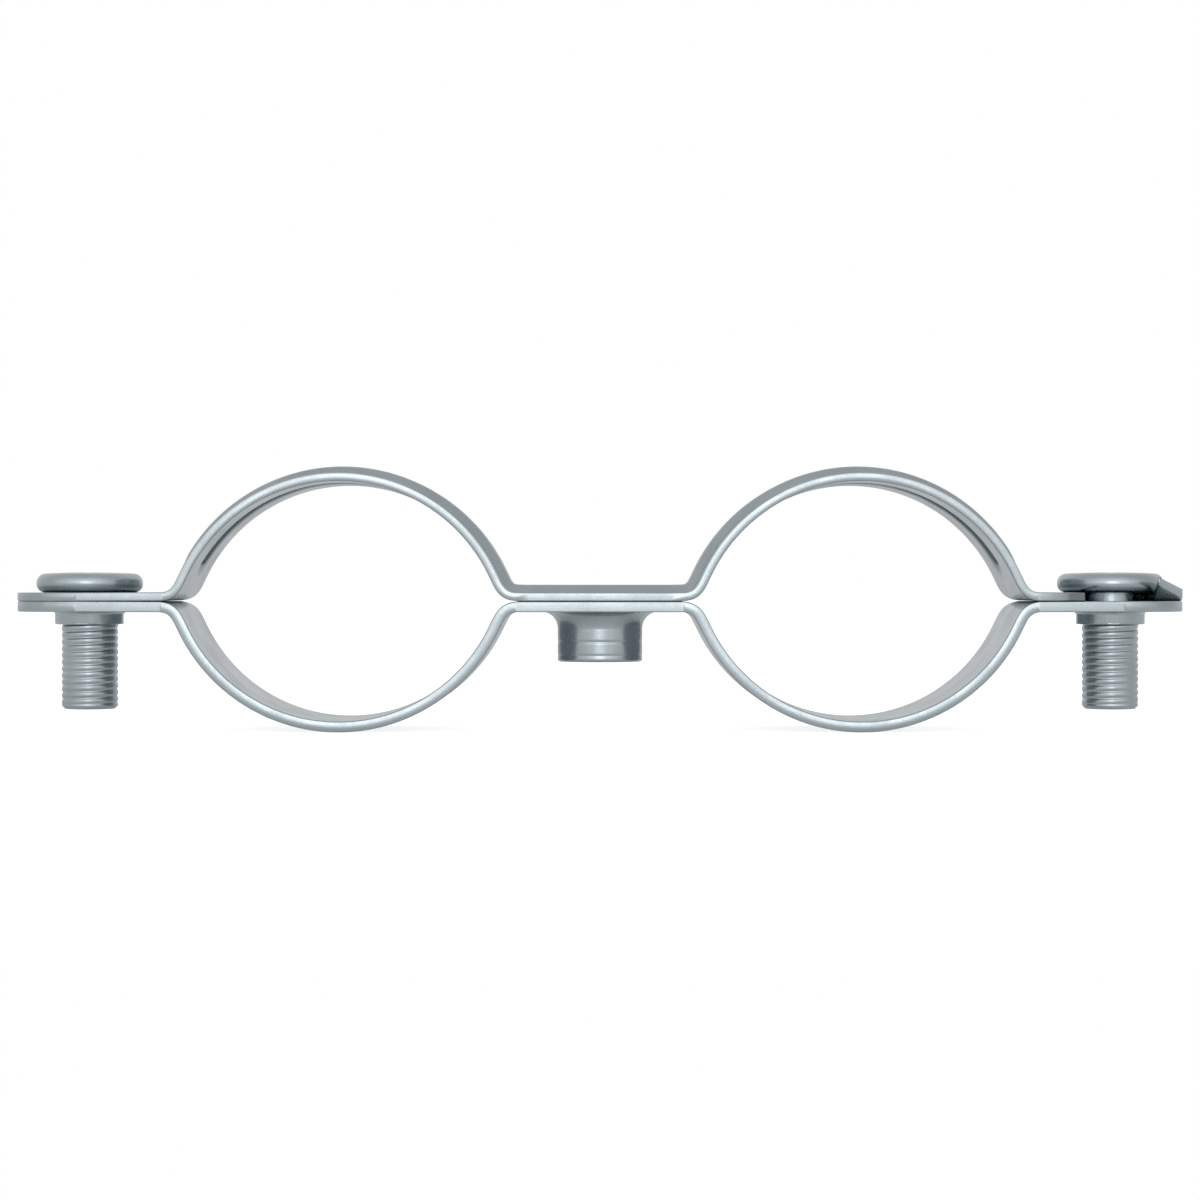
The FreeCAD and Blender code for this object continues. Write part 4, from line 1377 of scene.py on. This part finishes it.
# %% Floor
FLOOR_WHITE = 0.82
FLOOR_IN_METAL = 0.36
FLOOR_GREY = 0.5
FLOOR_HALF = 3.0
WHITE = (1.0, 1.0, 1.0, 1.0)


def floor_material():
    material = bpy.data.materials.new("pale floor")
    material.use_nodes = True
    tree = material.node_tree
    tree.nodes.clear()
    path = put(tree, "ShaderNodeLightPath").outputs
    mirrored = calc(tree, "MAXIMUM", path["Is Glossy Ray"], path["Is Transmission Ray"])
    in_metal = calc(tree, "MULTIPLY", mirrored, FLOOR_IN_METAL)
    shows = calc(tree, "MAXIMUM", path["Is Camera Ray"], in_metal)
    strength = calc(tree, "MULTIPLY", shows, FLOOR_WHITE)
    glow = put(
        tree, "ShaderNodeEmission", {"Color": WHITE, "Strength": strength}
    ).outputs[0]
    grey = (FLOOR_GREY, FLOOR_GREY, FLOOR_GREY, 1.0)
    matt = put(tree, "ShaderNodeBsdfDiffuse", {"Color": grey}).outputs[0]
    both = put(tree, "ShaderNodeAddShader", {0: glow, 1: matt}).outputs[0]
    behind = put(tree, "ShaderNodeNewGeometry").outputs["Backfacing"]
    clear = put(tree, "ShaderNodeBsdfTransparent").outputs[0]
    seen = put(tree, "ShaderNodeMixShader", {0: behind, 1: both, 2: clear}).outputs[0]
    out = tree.nodes.new("ShaderNodeOutputMaterial")
    tree.links.new(seen, out.inputs["Surface"])
    return material


floor_mesh = bpy.data.meshes.new("floor")
corners = [(-1, -1), (1, -1), (1, 1), (-1, 1)]
floor_mesh.from_pydata(
    [(x * FLOOR_HALF, y * FLOOR_HALF, lower_low.z) for x, y in corners], [], [(0, 1, 2, 3)]
)
floor_mesh.materials.append(floor_material())
floor = hold("floor", floor_mesh)
floor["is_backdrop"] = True
print(f"floor at {lower_low.z / MM:.2f} mm")

# %% [markdown]
# Metal shows what stands round it, so the studio matters more than the lamp. The room is
# white to the camera. To the metal it is a plain grey that brightens towards the front, and
# most of all straight ahead of the strap, and some of the white backdrop shows in it.

# %% Studio
BACKDROP_IN_METAL = 0.30
LEFT_GREY, RIGHT_GREY = 0.72, 0.62
FRONT_RISE = 0.30
AHEAD_RISE = 0.45


def studio(world):
    world.use_nodes = True
    tree = world.node_tree
    tree.nodes.clear()
    path = put(tree, "ShaderNodeLightPath").outputs
    way = put(tree, "ShaderNodeTexCoord").outputs["Generated"]
    x, y, _ = put(tree, "ShaderNodeSeparateXYZ", {"Vector": way}).outputs
    backdrop = soft_step(tree, y, 0.15, 0.75)
    mirrored = calc(tree, "MAXIMUM", path["Is Glossy Ray"], path["Is Transmission Ray"])
    behind = calc(tree, "MULTIPLY", mirrored, backdrop)
    in_metal = calc(tree, "MULTIPLY", behind, BACKDROP_IN_METAL)
    shown = calc(tree, "MAXIMUM", path["Is Camera Ray"], in_metal)
    across = put(
        tree, "ShaderNodeMapRange",
        {"Value": x, "From Min": -1.0, "To Min": LEFT_GREY, "To Max": RIGHT_GREY},
    ).outputs["Result"]
    front = soft_step(tree, y, -0.1, -0.7, high=FRONT_RISE)
    ahead = soft_step(tree, y, -0.62, -0.95, high=AHEAD_RISE)
    grey = calc(tree, "ADD", calc(tree, "ADD", across, front), ahead)
    level = put(tree, "ShaderNodeMix", {"Factor": shown, "A": grey, "B": 1.0}).outputs["Result"]
    ground = put(tree, "ShaderNodeBackground", {"Color": WHITE, "Strength": level}).outputs[0]
    out = tree.nodes.new("ShaderNodeOutputWorld")
    tree.links.new(ground, out.inputs["Surface"])


world = bpy.data.worlds.new("studio")
bpy.context.scene.world = world
studio(world)
print("world:", world.name)

# %% [markdown]
# One broad lamp stands behind the camera. It gives the faces that look at the camera their
# brightness, which falls off towards the ends of the strap.


# %% Lamp
def point_at(thing, place, aim):
    """Puts a lamp or a camera in its place and turns it to look at its aim."""
    thing.location = place
    way = Vector(aim) - thing.location
    thing.rotation_euler = way.to_track_quat("-Z", "Y").to_euler()


def soft_lamp(name, place, aim, size, watts):
    data = bpy.data.lights.new(name, "AREA")
    data.shape = "RECTANGLE"
    data.size, data.size_y = size
    data.energy = watts
    lamp = hold(name, data)
    lamp.visible_camera = False
    point_at(lamp, place, aim)
    print(f"{name}: {watts} W")


soft_lamp(
    "front softbox", place=(-0.02, -0.9, 0.07), aim=(0.0, 0.0, 0.005), size=(0.36, 0.40),
    watts=0.66,
)

# %% [markdown]
# The camera looks straight at the front edge of the strap, from 27 cm away and just above
# the line where the two straps meet. At that short distance the walls inside the rings can
# be seen, and they show how wide the strap is.

# %% Camera
CAMERA_AWAY = 270.6 * MM
CAMERA_HEIGHT = 6.87 * MM
AIM_HEIGHT = 5.79 * MM
camera_data = bpy.data.cameras.new("camera")
camera_data.lens = 86.05
camera_data.sensor_width = 36.0
camera = hold("camera", camera_data)
point_at(camera, place=(0.0, -CAMERA_AWAY, CAMERA_HEIGHT), aim=(0.0, 0.0, AIM_HEIGHT))
bpy.context.scene.camera = camera
bpy.context.scene.view_settings.view_transform = "Standard"
print(f"camera {CAMERA_AWAY / MM:.1f} mm away, lens {camera_data.lens:.1f} mm")

# %% [markdown]
# ## The size of the work
#
# The drawn pieces must stay in the box of the imported model. The box of the drawn
# pieces is printed at the end.

# %% The size of the drawn pieces
own_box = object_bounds()
for low, high, name in zip(*own_box, "xyz"):
    print(f"{name}: {low / MM:.3f} to {high / MM:.3f} mm")
